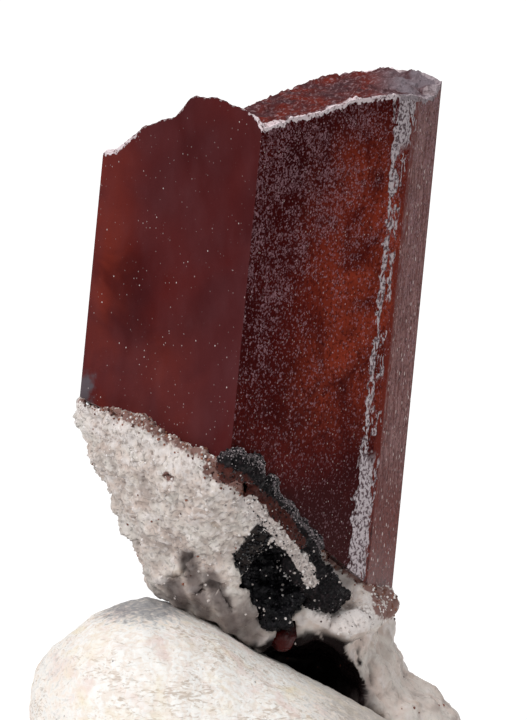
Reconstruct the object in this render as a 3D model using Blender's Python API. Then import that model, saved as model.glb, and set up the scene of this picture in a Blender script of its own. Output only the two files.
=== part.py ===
"""A topaz crystal on its rhyolite matrix, propped on a rounded stone.

Constants are millimetres and degrees, meshes are metres. +Z is up, +X is to the right and -Y
faces the viewer. The crystal's sizes are driven by the widths and headings of its prism faces.
"""

import math
import random

import bmesh
import bpy
import numpy as np
from mathutils import Matrix, Vector, noise
from mathutils.geometry import delaunay_2d_cdt

MM = 0.001
GAP = 0.3

# The prism leans to the right, and its front edge tops out here.
LEAN = math.tan(math.radians(5.5))
FRONT_EDGE = Vector((-0.1, 0.0, 59.3))

# Each face of the prism: its name, its outward normal measured from -Y towards +X, its width.
# The last face closes the outline, so it has no width of its own.
PRISM_FACES = (
    ("left", -35.0, 15.1),
    ("right", 51.8, 18.8),
    ("etched edge", 61.2, 1.1),
    ("narrow", 70.6, 6.7),
    ("back right", 145.0, 12.8),
    ("back left", 231.8, None),
)
FACE_STEP = 0.6

# Heights of the broken top along each face, as (share of the face's width, height).
RIM_HEIGHTS = {
    "left": (
        (0.0, 56.2), (0.08, 56.6), (0.13, 57.2), (0.24, 58.5), (0.34, 59.1), (0.46, 59.6),
        (0.5, 60.9), (0.56, 61.4), (0.62, 61.5), (0.74, 61.2), (0.9, 60.5), (0.96, 60.0),
    ),
    "right": (
        (0.0, 59.2), (0.08, 59.3), (0.2, 59.7), (0.28, 59.7), (0.44, 59.9), (0.58, 60.4),
        (0.76, 60.4), (0.9, 60.3),
    ),
    "etched edge": ((0.0, 60.1),),
    "narrow": ((0.0, 59.9), (0.4, 59.4), (0.8, 59.3)),
    "back right": ((0.0, 60.4), (0.15, 60.9), (0.4, 61.0), (0.7, 60.4)),
    "back left": ((0.0, 59.4), (0.15, 58.2), (0.3, 57.4), (0.55, 57.3), (0.8, 56.6)),
}
RIM_ROUGHNESS = 0.1
RIM_WIDTH = 4.0

# Inside the rim the break rises a little to the right and to the back.
FRACTURE_MIDDLE = 57.6
FRACTURE_RISE_RIGHT = 0.10
FRACTURE_RISE_BACK = 0.09
FRACTURE_ROUGHNESS = 0.75
FRACTURE_LUMP_SIZE = 3.2
FRACTURE_STEP = 1.25

# The plane where the crystal meets its matrix: a point on it, and its fall to the right and back.
SEAT_POINT = Vector((-4.7, 1.4, 32.8))
SEAT_FALL_RIGHT = 0.608
SEAT_FALL_BACK = 0.321
SEAT_ROUGHNESS = 0.18
SEAT_LUMP_SIZE = 2.5
SEAT_REACH = 60.0
SEAT_STEPS = 30
ABOVE_ALL = 90.0

# The matrix, level by level: height, right side, width and depth as a share of the prism's.
MATRIX_LEVELS = (
    (38.0, 11.9, 1.01, 1.03),
    (36.2, 11.7, 0.99, 1.03),
    (34.0, 11.4, 0.98, 1.02),
    (31.6, 11.2, 0.93, 0.99),
    (29.0, 11.0, 0.87, 0.93),
    (26.1, 10.8, 0.81, 0.85),
    (23.9, 10.6, 0.77, 0.79),
    (21.4, 10.3, 0.74, 0.74),
    (19.3, 10.2, 0.68, 0.70),
    (17.0, 10.2, 0.57, 0.62),
    (15.0, 10.4, 0.50, 0.56),
    (12.0, 11.8, 0.46, 0.50),
    (9.2, 14.9, 0.50, 0.47),
    (6.0, 17.3, 0.55, 0.48),
    (2.0, 18.9, 0.60, 0.50),
    (0.0, 19.3, 0.61, 0.50),
)
MATRIX_RINGS = 32
MATRIX_SIDES = 46
MATRIX_LUMPS = 0.75
MATRIX_LUMP_SIZE = 5.5
MATRIX_RIBS = 0.9
MATRIX_RIB_SPACING = 3.6
MATRIX_RIB_STRETCH = 4.0
RIBS_BELOW = 27.0

# The hollow under the matrix, between it and the stone: centre and half-sizes.
HOLLOW_CENTRE = Vector((3.0, 9.0, 12.8))
HOLLOW_HALF = Vector((5.9, 9.6, 3.9))
HOLLOW_BUMPS = 0.16

# The stone, station by station from left to right: x, underside, top, half its depth.
STONE_STATIONS = (
    (-18.6, 9.6, 11.8, 1.6),
    (-18.0, 5.4, 14.6, 5.2),
    (-16.3, 1.8, 16.9, 8.0),
    (-13.4, -0.4, 19.2, 9.9),
    (-9.6, -1.0, 20.1, 10.9),
    (-5.1, -1.2, 18.8, 11.2),
    (-0.3, -1.2, 15.7, 10.9),
    (5.3, -1.0, 12.7, 9.8),
    (9.7, -0.3, 10.3, 8.2),
    (13.0, 1.4, 8.2, 5.6),
    (15.0, 3.4, 6.2, 1.8),
)
STONE_MIDDLE = Vector((-3.0, 8.8, 9.0))
STONE_SIDES = 32
STONE_RINGS = 26
STONE_SQUARENESS = 0.85
STONE_LUMPS = 0.35
STONE_LUMP_SIZE = 6.0

# Black mineral grown along the crystal's foot. Its band runs through these places: distance along
# the right face from the front edge, height, half its width. Its swollen end is a few big lumps:
# distance, height, radius on the face and thickness.
CRUST_BAND = (
    (-1.2, 32.9, 0.5),
    (0.6, 32.5, 0.9),
    (2.8, 31.7, 1.1),
    (5.2, 30.2, 1.2),
    (7.8, 28.0, 1.2),
    (10.2, 25.6, 1.3),
    (12.6, 23.3, 1.4),
    (14.6, 21.6, 1.3),
)
CRUST_BAND_LUMPS = 44
CRUST_LUMP_RADIUS = (0.8, 1.25)
CRUST_THICKNESS = (0.8, 1.15)
CRUST_LIFT = 0.35
LUMP_BUMPS = 0.14
CRUST_END = (
    (14.3, 20.4, 2.0, 2.2),
    (15.9, 20.7, 2.1, 2.4),
    (16.6, 19.6, 1.6, 2.0),
    (15.2, 19.3, 1.5, 1.9),
    (18.2, 20.4, 1.2, 1.2),
    (19.7, 20.2, 0.8, 0.9),
)

# The black-lined pocket in the matrix, to the left of the crust's end.
POCKET_CENTRE = Vector((1.3, 6.6, 22.9))
POCKET_HALF = Vector((3.0, 2.6, 3.0))
POCKET_LUMPS = (
    (-1.2, 7.6, 24.4, 1.5),
    (0.5, 7.9, 25.1, 1.5),
    (2.2, 8.9, 24.1, 1.6),
    (-1.3, 7.8, 22.6, 1.5),
    (0.6, 8.5, 22.9, 1.9),
    (2.6, 9.7, 22.3, 1.7),
    (0.0, 8.4, 20.9, 1.6),
    (1.7, 9.2, 20.6, 1.6),
    (0.9, 8.7, 19.2, 1.3),
)

# A second, small prism under the pocket.
SMALL_CRYSTAL_FOOT = Vector((1.3, 10.9, 19.2))
SMALL_CRYSTAL_LENGTH = 3.6
SMALL_CRYSTAL_RADIUS = 1.25
SMALL_CRYSTAL_TIP = Vector((0.1, -0.45, -1.0))
SMALL_CRYSTAL_CORNERS = (0, 62, 118, 180, 242, 298)

# Each material: its base colour, roughness and metallic share.
FINISHES = {
    "topaz": ((0.085, 0.014, 0.014), 0.28, 0.0),
    "small topaz": ((0.12, 0.012, 0.01), 0.2, 0.0),
    "rhyolite": ((0.55, 0.47, 0.42), 0.85, 0.0),
    "black mineral": ((0.02, 0.018, 0.02), 0.35, 0.3),
    "pocket mineral": ((0.015, 0.014, 0.016), 0.4, 0.3),
    "cream stone": ((0.78, 0.68, 0.58), 0.8, 0.0),
}

# Each rough surface has its own random pattern.
SEEDS = {"top": 11.0, "seat": 5.0, "lumps": 3.0, "ribs": 7.0, "stone": 19.0, "hollow": 23.0}


def clear_scene():
    """Empties the scene."""
    for obj in list(bpy.data.objects):
        bpy.data.objects.remove(obj, do_unlink=True)


def finish(name):
    """Makes a plain material."""
    colour, roughness, metallic = FINISHES[name]
    material = bpy.data.materials.new(name)
    material.use_nodes = True
    shader = material.node_tree.nodes["Principled BSDF"]
    shader.inputs["Base Color"].default_value = (*colour, 1.0)
    shader.inputs["Roughness"].default_value = roughness
    shader.inputs["Metallic"].default_value = metallic
    return material


def object_of(name, bm, material=None):
    """Turns a bmesh, in millimetres, into an object in metres with its faces pointing out."""
    bmesh.ops.recalc_face_normals(bm, faces=bm.faces[:])
    bmesh.ops.scale(bm, vec=(MM, MM, MM), verts=bm.verts[:])
    mesh = bpy.data.meshes.new(name)
    bm.to_mesh(mesh)
    bm.free()
    obj = bpy.data.objects.new(name, mesh)
    bpy.context.scene.collection.objects.link(obj)
    if material:
        mesh.materials.append(material)
    return obj


def cutter_of(name, bm):
    """Turns a bmesh into a hidden cutter."""
    obj = object_of(name, bm)
    obj.hide_render = True
    obj.display_type = "WIRE"
    return obj


def cut(obj, cutter):
    """Takes one object away from another."""
    modifier = obj.modifiers.new("cut by " + cutter.name, "BOOLEAN")
    modifier.operation = "DIFFERENCE"
    modifier.object = cutter


def roughness_at(point, size, seed):
    """A smooth random number between about -1 and 1, which changes over a distance of size."""
    return noise.fractal(point / size + Vector((seed, seed * 0.7, -seed)), 0.9, 2.1, 3)


def ring_faces(bm, rings):
    """Joins neighbouring rings of equal length with quads."""
    for lower, upper in zip(rings, rings[1:]):
        for i in range(len(lower)):
            j = (i + 1) % len(lower)
            bm.faces.new((lower[i], lower[j], upper[j], upper[i]))


def cap(bm, ring, centre):
    """Closes a ring with a fan of triangles around a point."""
    middle = bm.verts.new(centre)
    for i, corner in enumerate(ring):
        bm.faces.new((corner, ring[(i + 1) % len(ring)], middle))


def heading(degrees):
    """The direction along a face, left to right, whose outward normal has this heading."""
    angle = math.radians(degrees)
    return Vector((math.cos(angle), math.sin(angle)))


def prism_corners():
    """The prism's outline as (u, v) from its front edge: u to the right, v to the back."""
    _, angle, width = PRISM_FACES[0]
    corners = [-width * heading(angle)]
    for _, angle, width in PRISM_FACES[:-1]:
        corners.append(corners[-1] + width * heading(angle))
    return corners


def prism_outline():
    """Points round the prism as (u, v, height of the broken top)."""
    corners = prism_corners()
    outline = []
    for i, (name, _, _) in enumerate(PRISM_FACES):
        start = corners[i]
        end = corners[(i + 1) % len(corners)]
        next_name = PRISM_FACES[(i + 1) % len(PRISM_FACES)][0]
        heights = RIM_HEIGHTS[name] + ((1.0, RIM_HEIGHTS[next_name][0][1]),)
        shares, tops = zip(*heights)
        count = max(2, round((end - start).length / FACE_STEP))
        for share in np.arange(count) / count:
            u, v = start.lerp(end, share)
            outline.append((u, v, float(np.interp(share, shares, tops))))
    return outline


def leaning(u, v, height):
    """The place of a point of the prism at this height."""
    x = FRONT_EDGE.x + u + LEAN * (height - FRONT_EDGE.z)
    return Vector((x, FRONT_EDGE.y + v, height))


def seat_height(u, v):
    """Where the line along the prism through (u, v) meets the matrix."""
    level = SEAT_POINT.z - SEAT_FALL_BACK * (v - SEAT_POINT.y)
    level -= SEAT_FALL_RIGHT * (FRONT_EDGE.x + u - LEAN * FRONT_EDGE.z - SEAT_POINT.x)
    return level / (1 + SEAT_FALL_RIGHT * LEAN)


def fracture_height(u, v, outline):
    """The broken top: the rim's height at the edge, and a rough slope inside it."""
    away = np.array([math.hypot(u - rim_u, v - rim_v) for rim_u, rim_v, _ in outline])
    near = 1 / (away + 0.05) ** 3
    rim = float((near * [height for _, _, height in outline]).sum() / near.sum())
    inward = min(1.0, away.min() / RIM_WIDTH)
    inward *= inward * (3 - 2 * inward)
    slope = FRACTURE_MIDDLE + FRACTURE_RISE_RIGHT * u + FRACTURE_RISE_BACK * v
    rough = RIM_ROUGHNESS + inward * (FRACTURE_ROUGHNESS - RIM_ROUGHNESS)
    rough *= roughness_at(Vector((u, v, 0)), FRACTURE_LUMP_SIZE, SEEDS["top"])
    return rim + inward * (slope - rim) + rough


def spread_inside(outline):
    """Staggered points inside the prism's outline, as (u, v)."""
    corners = prism_corners()
    rows = np.arange(0, max(v for _, v, _ in outline), FRACTURE_STEP * 0.87)
    for row, v in enumerate(rows):
        for column in range(-40, 40):
            place = Vector(((column + 0.5 * (row % 2)) * FRACTURE_STEP, v))
            depths = []
            for start, end in zip(corners, corners[1:] + corners[:1]):
                along = (end - start).normalized()
                depths.append(along.cross(place - start))
            if min(depths) > FRACTURE_STEP * 0.45:
                yield place


def build_crystal():
    """The prism: flat sides, a broken top with a wavy rim, and the seat it grew from."""
    bm = bmesh.new()
    outline = prism_outline()
    lower = [bm.verts.new(leaning(u, v, seat_height(u, v))) for u, v, _ in outline]
    places = [Vector((u, v)) for u, v, _ in outline]
    edges = [(i, (i + 1) % len(places)) for i in range(len(places))]
    places.extend(spread_inside(outline))
    flat, _, triangles, *_ = delaunay_2d_cdt(places, edges, [], 1, 1e-4)
    upper = [bm.verts.new(leaning(*place, fracture_height(*place, outline))) for place in flat]
    for triangle in triangles:
        bm.faces.new([upper[i] for i in triangle])
    ring_faces(bm, [lower, upper[: len(outline)]])
    bm.faces.new(lower)
    return object_of("topaz_crystal", bm, finish("topaz"))


def rounded(points, passes):
    """Rounds a closed outline's corners and keeps its extent."""
    shape = np.array(points)
    low, high = shape.min(axis=0), shape.max(axis=0)
    for _ in range(passes):
        shape = (np.roll(shape, 1, axis=0) + 2 * shape + np.roll(shape, -1, axis=0)) / 4
    soft_low, soft_high = shape.min(axis=0), shape.max(axis=0)
    return low + (shape - soft_low) * (high - low) / (soft_high - soft_low)


def even_outline(corners, count):
    """Points at even distances round a polygon."""
    lengths = [(b - a).length for a, b in zip(corners, corners[1:] + corners[:1])]
    ends = np.concatenate([[0], np.cumsum(lengths)])
    closed = corners + corners[:1]
    places = np.arange(count) / count * ends[-1]
    u = np.interp(places, ends, [corner.x for corner in closed])
    v = np.interp(places, ends, [corner.y for corner in closed])
    return np.stack([u, v], axis=1)


def matrix_ring(height):
    """The matrix's outline at a height, as (x, y) points."""
    levels = np.array(MATRIX_LEVELS)[::-1]
    right, width, depth = (np.interp(height, levels[:, 0], levels[:, i]) for i in (1, 2, 3))
    corners = prism_corners()
    outer = max(corners, key=lambda corner: corner.x)
    placed = [
        Vector((right + (c.x - outer.x) * width, outer.y + (c.y - outer.y) * depth))
        for c in corners
    ]
    passes = round(np.interp(height, (6.0, 24.0, 33.0), (40, 26, 2)))
    return rounded(even_outline(placed, MATRIX_SIDES), passes)


def build_matrix():
    """The pale rock: a tapering root with lumps and upright ribs, flat on the ground."""
    bm = bmesh.new()
    rings = []
    for height in np.linspace(0.0, MATRIX_LEVELS[0][0], MATRIX_RINGS):
        outline = matrix_ring(height)
        centre = outline.mean(axis=0)
        ring = []
        for x, y in outline:
            point = Vector((x, y, height))
            away = Vector((x - centre[0], y - centre[1], 0)).normalized()
            lumps = MATRIX_LUMPS * roughness_at(point, MATRIX_LUMP_SIZE, SEEDS["lumps"])
            stretched = Vector((x, y, height / MATRIX_RIB_STRETCH))
            ribs = MATRIX_RIBS * roughness_at(stretched, MATRIX_RIB_SPACING, SEEDS["ribs"])
            ribs *= np.interp(height, (RIBS_BELOW - 4, RIBS_BELOW), (1.0, 0.0))
            near_seat = np.interp(height, (0.0, 2.0, 30.0, 34.0), (0.3, 1.0, 1.0, 0.45))
            ring.append(bm.verts.new(point + away * (lumps + ribs) * near_seat))
        rings.append(ring)
    ring_faces(bm, rings)
    for ring in (rings[0], rings[-1]):
        centre = sum((vert.co for vert in ring), Vector()) / len(ring)
        cap(bm, ring, centre)
    return object_of("rhyolite_matrix", bm, finish("rhyolite"))


def seat_cutter():
    """Everything above the seat, less the gap to the crystal."""
    bm = bmesh.new()
    rows = []
    for x in np.linspace(-SEAT_REACH / 2, SEAT_REACH / 2, SEAT_STEPS):
        row = []
        for y in np.linspace(-SEAT_REACH / 4, SEAT_REACH * 3 / 4, SEAT_STEPS):
            rough = roughness_at(Vector((x, y, 0)), SEAT_LUMP_SIZE, SEEDS["seat"])
            height = SEAT_POINT.z - SEAT_FALL_RIGHT * (x - SEAT_POINT.x)
            height -= SEAT_FALL_BACK * (y - SEAT_POINT.y) + GAP * 1.2
            height -= SEAT_ROUGHNESS * (1 + rough)
            row.append(bm.verts.new((x, y, height)))
        rows.append(row)
    for left, right in zip(rows, rows[1:]):
        for i in range(SEAT_STEPS - 1):
            bm.faces.new((left[i], left[i + 1], right[i + 1], right[i]))
    raised = bmesh.ops.extrude_face_region(bm, geom=bm.faces[:])
    upper = [item for item in raised["geom"] if isinstance(item, bmesh.types.BMVert)]
    for vert in upper:
        vert.co.z = ABOVE_ALL
    return cutter_of("above the seat", bm)


def stone_mesh(grow):
    """The rounded stone, larger all over by grow."""
    bm = bmesh.new()
    stations = np.array(STONE_STATIONS)
    places = np.linspace(0, 1, len(stations))
    rings = []
    for share in 0.5 - 0.5 * np.cos(np.linspace(0, math.pi, STONE_RINGS)):
        x, low, high, half = (np.interp(share, places, stations[:, i]) for i in range(4))
        middle = Vector((x, STONE_MIDDLE.y, (low + high) / 2))
        ring = []
        for side in range(STONE_SIDES):
            angle = 2 * math.pi * side / STONE_SIDES
            across, rise = (
                math.copysign(abs(part) ** STONE_SQUARENESS, part)
                for part in (math.cos(angle), math.sin(angle))
            )
            point = middle + Vector((0, half * across, (high - low) / 2 * rise))
            away = (point - STONE_MIDDLE).normalized()
            lumps = STONE_LUMPS * roughness_at(point, STONE_LUMP_SIZE, SEEDS["stone"])
            point += away * (grow + lumps)
            ring.append(bm.verts.new((point.x, point.y, max(point.z, 0.0))))
        rings.append(ring)
    ring_faces(bm, rings)
    for ring in (rings[0], rings[-1]):
        cap(bm, ring, sum((vert.co for vert in ring), Vector()) / len(ring))
    return bm


def build_stone():
    """The stone that the specimen leans on."""
    bm = stone_mesh(0.0)
    bmesh.ops.remove_doubles(bm, verts=bm.verts[:], dist=0.01)
    return object_of("support_stone", bm, finish("cream stone"))


def lumps_mesh(lumps):
    """Overlapping lumps, each given as a centre, three axes and a seed, in one bmesh."""
    bm = bmesh.new()
    for centre, axes, seed in lumps:
        ball = bmesh.ops.create_icosphere(bm, subdivisions=2, radius=1.0)
        for vert in ball["verts"]:
            bumpy = 1 + LUMP_BUMPS * roughness_at(vert.co, 0.8, seed)
            across, rise, thick = (axis * part for axis, part in zip(axes, vert.co))
            vert.co = centre + (across + rise + thick) * bumpy
    return bm


def crust_places():
    """Where each lump of the crust sits: distance, height, radius and thickness."""
    dice = random.Random(4)
    band = np.array(CRUST_BAND)
    for share in np.linspace(0, 1, CRUST_BAND_LUMPS):
        along = share * (len(band) - 1)
        distance, height, half = (np.interp(along, range(len(band)), band[:, i]) for i in range(3))
        side = dice.uniform(-1, 1) * half
        radius = dice.uniform(*CRUST_LUMP_RADIUS)
        yield distance + 0.7 * side, height + 0.7 * side, radius, dice.uniform(*CRUST_THICKNESS)
    yield from CRUST_END


def crust_lumps(grow):
    """The lumps of the crust, lying on the crystal's right face."""
    along = heading(PRISM_FACES[1][1])
    along = Vector((along.x, along.y, 0))
    outward = Vector((along.y, -along.x, 0))
    up = Vector((LEAN, 0, 1)).normalized()
    for seed, (distance, height, radius, thick) in enumerate(crust_places()):
        centre = leaning(distance * along.x, max(distance, 0) * along.y, height)
        centre += outward * CRUST_LIFT
        radius += grow
        axes = (along * radius, up * radius, outward * (thick + grow))
        yield centre, axes, seed * 1.7


def pocket_lumps(grow):
    """The lumps of the mineral that lines the pocket."""
    for seed, (x, y, z, radius) in enumerate(POCKET_LUMPS):
        radius += grow
        axes = (Vector((radius, 0, 0)), Vector((0, radius, 0)), Vector((0, 0, radius)))
        yield Vector((x, y, z)), axes, 40 + seed * 2.3


def fused(obj, voxel, keep):
    """Joins overlapping lumps into one skin, with a share of its faces kept."""
    remesh = obj.modifiers.new("fuse", "REMESH")
    remesh.mode = "VOXEL"
    remesh.voxel_size = voxel * MM
    thin = obj.modifiers.new("fewer faces", "DECIMATE")
    thin.ratio = keep


def crystal_cutter():
    """The prism made larger by the gap, for what grew against it."""
    bm = bmesh.new()
    corners = prism_corners()
    middle = sum(corners, Vector((0, 0))) / len(corners)
    lower, upper = [], []
    for corner in corners:
        away = (corner - middle).normalized() * GAP * 1.25
        u, v = corner + away
        lower.append(bm.verts.new(leaning(u, v, seat_height(u, v) - GAP * 1.2)))
        upper.append(bm.verts.new(leaning(u, v, ABOVE_ALL)))
    ring_faces(bm, [lower, upper])
    bm.faces.new(lower)
    bm.faces.new(upper)
    return cutter_of("around the crystal", bm)


def build_crust(around_crystal):
    """The black crust along the crystal's foot."""
    bm = lumps_mesh(crust_lumps(0.0))
    obj = object_of("black_mineral_crust", bm, finish("black mineral"))
    fused(obj, 0.26, 0.1)
    cut(obj, around_crystal)
    return obj


def build_pocket_lining():
    """The black mineral inside the matrix's pocket."""
    bm = lumps_mesh(pocket_lumps(0.0))
    obj = object_of("black_mineral_pocket", bm, finish("pocket mineral"))
    fused(obj, 0.3, 0.12)
    return obj


def small_crystal_mesh(grow):
    """The small prism: six-sided, blunt, pointing down and out of the matrix."""
    bm = bmesh.new()
    radius = SMALL_CRYSTAL_RADIUS + grow
    length = SMALL_CRYSTAL_LENGTH + grow
    rings = []
    for level, share in ((-grow, 1.0), (length * 0.75, 1.0), (length, 0.4)):
        ring = []
        for degrees in SMALL_CRYSTAL_CORNERS:
            angle = math.radians(degrees)
            place = Vector((math.cos(angle), math.sin(angle))) * radius * share
            ring.append(bm.verts.new((place.x, place.y, level)))
        rings.append(ring)
    ring_faces(bm, rings)
    bm.faces.new(rings[0])
    bm.faces.new(rings[-1])
    turn = SMALL_CRYSTAL_TIP.to_track_quat("Z", "X").to_matrix().to_4x4()
    place = Matrix.Translation(SMALL_CRYSTAL_FOOT) @ turn
    bmesh.ops.transform(bm, matrix=place, verts=bm.verts[:])
    return bm


def ellipsoid_cutter(name, centre, half):
    """An egg-shaped hidden cutter."""
    bm = bmesh.new()
    bmesh.ops.create_icosphere(bm, subdivisions=3, radius=1.0)
    for vert in bm.verts:
        bumpy = 1 + HOLLOW_BUMPS * roughness_at(vert.co, 0.9, SEEDS["hollow"])
        vert.co = centre + bumpy * vert.co * half
    return cutter_of(name, bm)


def applied(obj):
    """Replaces an object's mesh with its evaluated one."""
    graph = bpy.context.evaluated_depsgraph_get()
    mesh = bpy.data.meshes.new_from_object(obj.evaluated_get(graph))
    obj.modifiers.clear()
    obj.data = mesh


def keep_largest_piece(obj):
    """Deletes the crumbs that the cuts leave loose, or hanging by one edge."""
    bm = bmesh.new()
    bm.from_mesh(obj.data)
    pieces = []
    unseen = set(bm.faces)
    while unseen:
        front = [unseen.pop()]
        piece = []
        while front:
            face = front.pop()
            piece.append(face)
            for edge in face.edges:
                if len(edge.link_faces) != 2:
                    continue
                for other in edge.link_faces:
                    if other in unseen:
                        unseen.discard(other)
                        front.append(other)
        pieces.append(piece)
    pieces.sort(key=len)
    crumbs = [face for piece in pieces[:-1] for face in piece]
    bmesh.ops.delete(bm, geom=crumbs, context="FACES")
    bm.to_mesh(obj.data)
    bm.free()


def centre_on_ground(objects):
    """Moves the meshes so that the origin is the middle of the whole thing's underside."""
    corners = [Vector(corner) for obj in objects for corner in obj.bound_box]
    low = Vector(min(corner[i] for corner in corners) for i in range(3))
    high = Vector(max(corner[i] for corner in corners) for i in range(3))
    shift = Matrix.Translation(-Vector(((low.x + high.x) / 2, (low.y + high.y) / 2, low.z)))
    for obj in objects:
        obj.data.transform(shift)


def main():
    """Builds the pieces in order, each cut clear of those that it grew against."""
    clear_scene()
    crystal = build_crystal()
    stone = build_stone()
    around_crystal = crystal_cutter()
    crust = build_crust(around_crystal)
    lining = build_pocket_lining()
    small = object_of("small_topaz", small_crystal_mesh(0.0), finish("small topaz"))
    matrix = build_matrix()
    crust_room = cutter_of("room for the crust", lumps_mesh(crust_lumps(GAP * 1.3)))
    fused(crust_room, 0.3, 0.12)
    lining_room = cutter_of("room for the lining", lumps_mesh(pocket_lumps(GAP * 1.3)))
    fused(lining_room, 0.3, 0.12)
    small_room = cutter_of("around the small crystal", small_crystal_mesh(GAP))
    cutters = (
        seat_cutter(),
        small_room,
        cutter_of("around the stone", stone_mesh(GAP * 1.4)),
        ellipsoid_cutter("hollow", HOLLOW_CENTRE, HOLLOW_HALF),
        ellipsoid_cutter("pocket", POCKET_CENTRE, POCKET_HALF),
        crust_room,
        lining_room,
    )
    bpy.context.view_layer.update()
    for cutter in (crust_room, around_crystal, small_room):
        cut(lining, cutter)
    for cutter in cutters:
        cut(matrix, cutter)
    pieces = (crystal, stone, crust, lining, small, matrix)
    for obj in pieces:
        applied(obj)
        keep_largest_piece(obj)
    centre_on_ground(pieces)


main()
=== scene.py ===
import logging
import math
from dataclasses import dataclass
from enum import Enum
from typing import Callable

import bmesh
import bpy
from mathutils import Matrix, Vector, kdtree, noise


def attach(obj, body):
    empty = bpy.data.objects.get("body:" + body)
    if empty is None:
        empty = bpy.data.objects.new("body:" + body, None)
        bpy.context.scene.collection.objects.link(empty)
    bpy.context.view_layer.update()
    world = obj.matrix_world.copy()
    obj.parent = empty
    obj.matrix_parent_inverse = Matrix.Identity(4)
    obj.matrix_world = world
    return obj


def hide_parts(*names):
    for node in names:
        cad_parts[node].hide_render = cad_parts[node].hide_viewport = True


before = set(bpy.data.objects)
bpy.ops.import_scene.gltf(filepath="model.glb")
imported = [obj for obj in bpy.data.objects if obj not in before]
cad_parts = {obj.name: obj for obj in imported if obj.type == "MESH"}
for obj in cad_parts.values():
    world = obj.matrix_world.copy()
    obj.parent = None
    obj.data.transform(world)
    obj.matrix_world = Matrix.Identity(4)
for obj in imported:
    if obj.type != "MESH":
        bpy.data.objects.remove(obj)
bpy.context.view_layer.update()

Colour = tuple[float, float, float]
Socket = bpy.types.NodeSocket
Rule = Callable[[Vector, Vector], float]
MM = 0.001
WHITE: Colour = (1.0, 1.0, 1.0)

# The prism's own directions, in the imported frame: it leans to the right by this much for each
# unit of height, and its front edge passes through this point.
LEAN = math.tan(math.radians(5.5))
FRONT_EDGE = Vector((-0.263, -13.569, 59.3)) * MM
RIGHT_FACE_HEADING = math.radians(51.8)
LEFT_FACE_HEADING = math.radians(-35.0)

# The plane on which the prism sits: a point, and its fall to the right and to the back.
SEAT_POINT = Vector((-4.863, -12.169, 32.8)) * MM
SEAT_FALL_RIGHT = 0.608
SEAT_FALL_BACK = 0.321

# The front view's line of sight falls by this angle.
SIGHT = math.radians(8.0)

# Where the etched strip and the narrow face start, to the right of the front edge in millimetres,
# and how far up the narrow face's red foot reaches.
STRIP_STARTS = 10.7
NARROW_STARTS = 12.1
RED_FOOT_TOP = 33.0

# Lines in the front view, in millimetres to the right and up, along which the minerals change.
# Along GROOVES and INNER_LEG, shade is painted instead, and GROOVES are also pressed in.
Line = tuple[tuple[float, float], ...]
WHITE_RIDGE: Line = ((-1.2, 27.2), (0.2, 25.5), (1.5, 24.0), (2.8, 22.6), (3.6, 20.8))
RUSTY_ZONE: Line = ((-4.3, 29.8), (-2.0, 28.7), (-0.3, 27.2), (1.4, 25.6), (2.5, 24.0))
BAND_TOP: Line = (
    (-5.1, 30.7), (-3.2, 31.5), (-1.6, 31.1), (0.1, 30.0), (1.3, 28.3), (2.1, 26.7), (3.6, 25.2),
    (4.5, 24.0), (5.2, 22.8), (6.4, 21.5),
)
POCKET_SIDE: Line = ((-0.3, 24.7), (-1.0, 23.6), (-1.6, 22.6), (-0.8, 20.9), (0.2, 19.6))
BROWN_PIT: Line = ((-7.9, 29.3), (-7.5, 29.0))
GROOVES: tuple[Line, ...] = (
    ((-6.2, 22.6), (-5.6, 20.6), (-4.9, 18.2)),
    ((-4.4, 21.0), (-3.5, 19.2), (-2.6, 16.8)),
    ((-7.4, 20.6), (-6.6, 19.0)),
)
LEDGE: Line = ((4.2, 18.4), (6.4, 17.2), (8.2, 17.9), (9.5, 19.2))
RED_FOOT: Line = ((8.6, 21.0), (9.6, 20.6), (9.8, 18.8))
INNER_LEG: Line = ((3.2, 15.4), (5.2, 14.6), (6.8, 12.4), (7.8, 10.4))

log = logging.getLogger("topaz")


def above_seat(point: Vector) -> float:
    """Gives how far a point lies above the plane that the prism sits on, in metres."""
    level = SEAT_POINT.z - SEAT_FALL_RIGHT * (point.x - SEAT_POINT.x)
    return point.z - level + SEAT_FALL_BACK * (point.y - SEAT_POINT.y)


def seen_at(point: Vector) -> Vector:
    """Gives where a point shows in the front view, to the right and up, in millimetres."""
    rise = math.sin(SIGHT) * point.y + math.cos(SIGHT) * point.z
    return Vector((point.x / MM, rise / MM))


def near_line(point: Vector, line: Line, inner: float, outer: float) -> float:
    """Tells how near a point shows to a line in the front view.

    Args:
        point: The point, in metres.
        line: The line's corners in the front view, in millimetres.
        inner: The distance up to which the answer is 1.
        outer: The distance from which it is 0.

    Returns:
        A share between 0 and 1.
    """
    spot = seen_at(point)
    gaps = []
    for start, end in zip(line, line[1:]):
        run = Vector(end) - Vector(start)
        reach = spot - Vector(start)
        share = min(1.0, max(0.0, reach.dot(run) / run.length_squared))
        gaps.append((reach - run * share).length)
    return 1 - ease(min(gaps), inner, outer)


def ease(value: float, low: float, high: float) -> float:
    """Gives 0 below low, 1 above high and a smooth step between them. Low may be the larger."""
    share = min(1.0, max(0.0, (value - low) / (high - low)))
    return share * share * (3 - 2 * share)


def facing_front(normal: Vector) -> float:
    """Gives 1 where a surface faces the viewer, falling to 0 towards the back."""
    return ease(normal.y, 0.3, -0.1)


class Sum(Enum):
    """The sums that the shader nodes do here."""

    ADD = "ADD"
    SUBTRACT = "SUBTRACT"
    MULTIPLY = "MULTIPLY"
    MAXIMUM = "MAXIMUM"
    SCALE = "SCALE"
    DOT = "DOT_PRODUCT"


def feed(tree: bpy.types.NodeTree, socket: Socket, value: object) -> None:
    """Links a socket to another one, or sets its value. A colour has three parts.

    Args:
        tree: The node tree that holds the sockets.
        socket: The input socket.
        value: Another socket, a number, a vector or a colour.
    """
    if isinstance(value, bpy.types.NodeSocket):
        tree.links.new(value, socket)
    elif isinstance(value, tuple) and len(socket.default_value) == 4:
        socket.default_value = (*value, 1.0)
    else:
        socket.default_value = value


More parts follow.
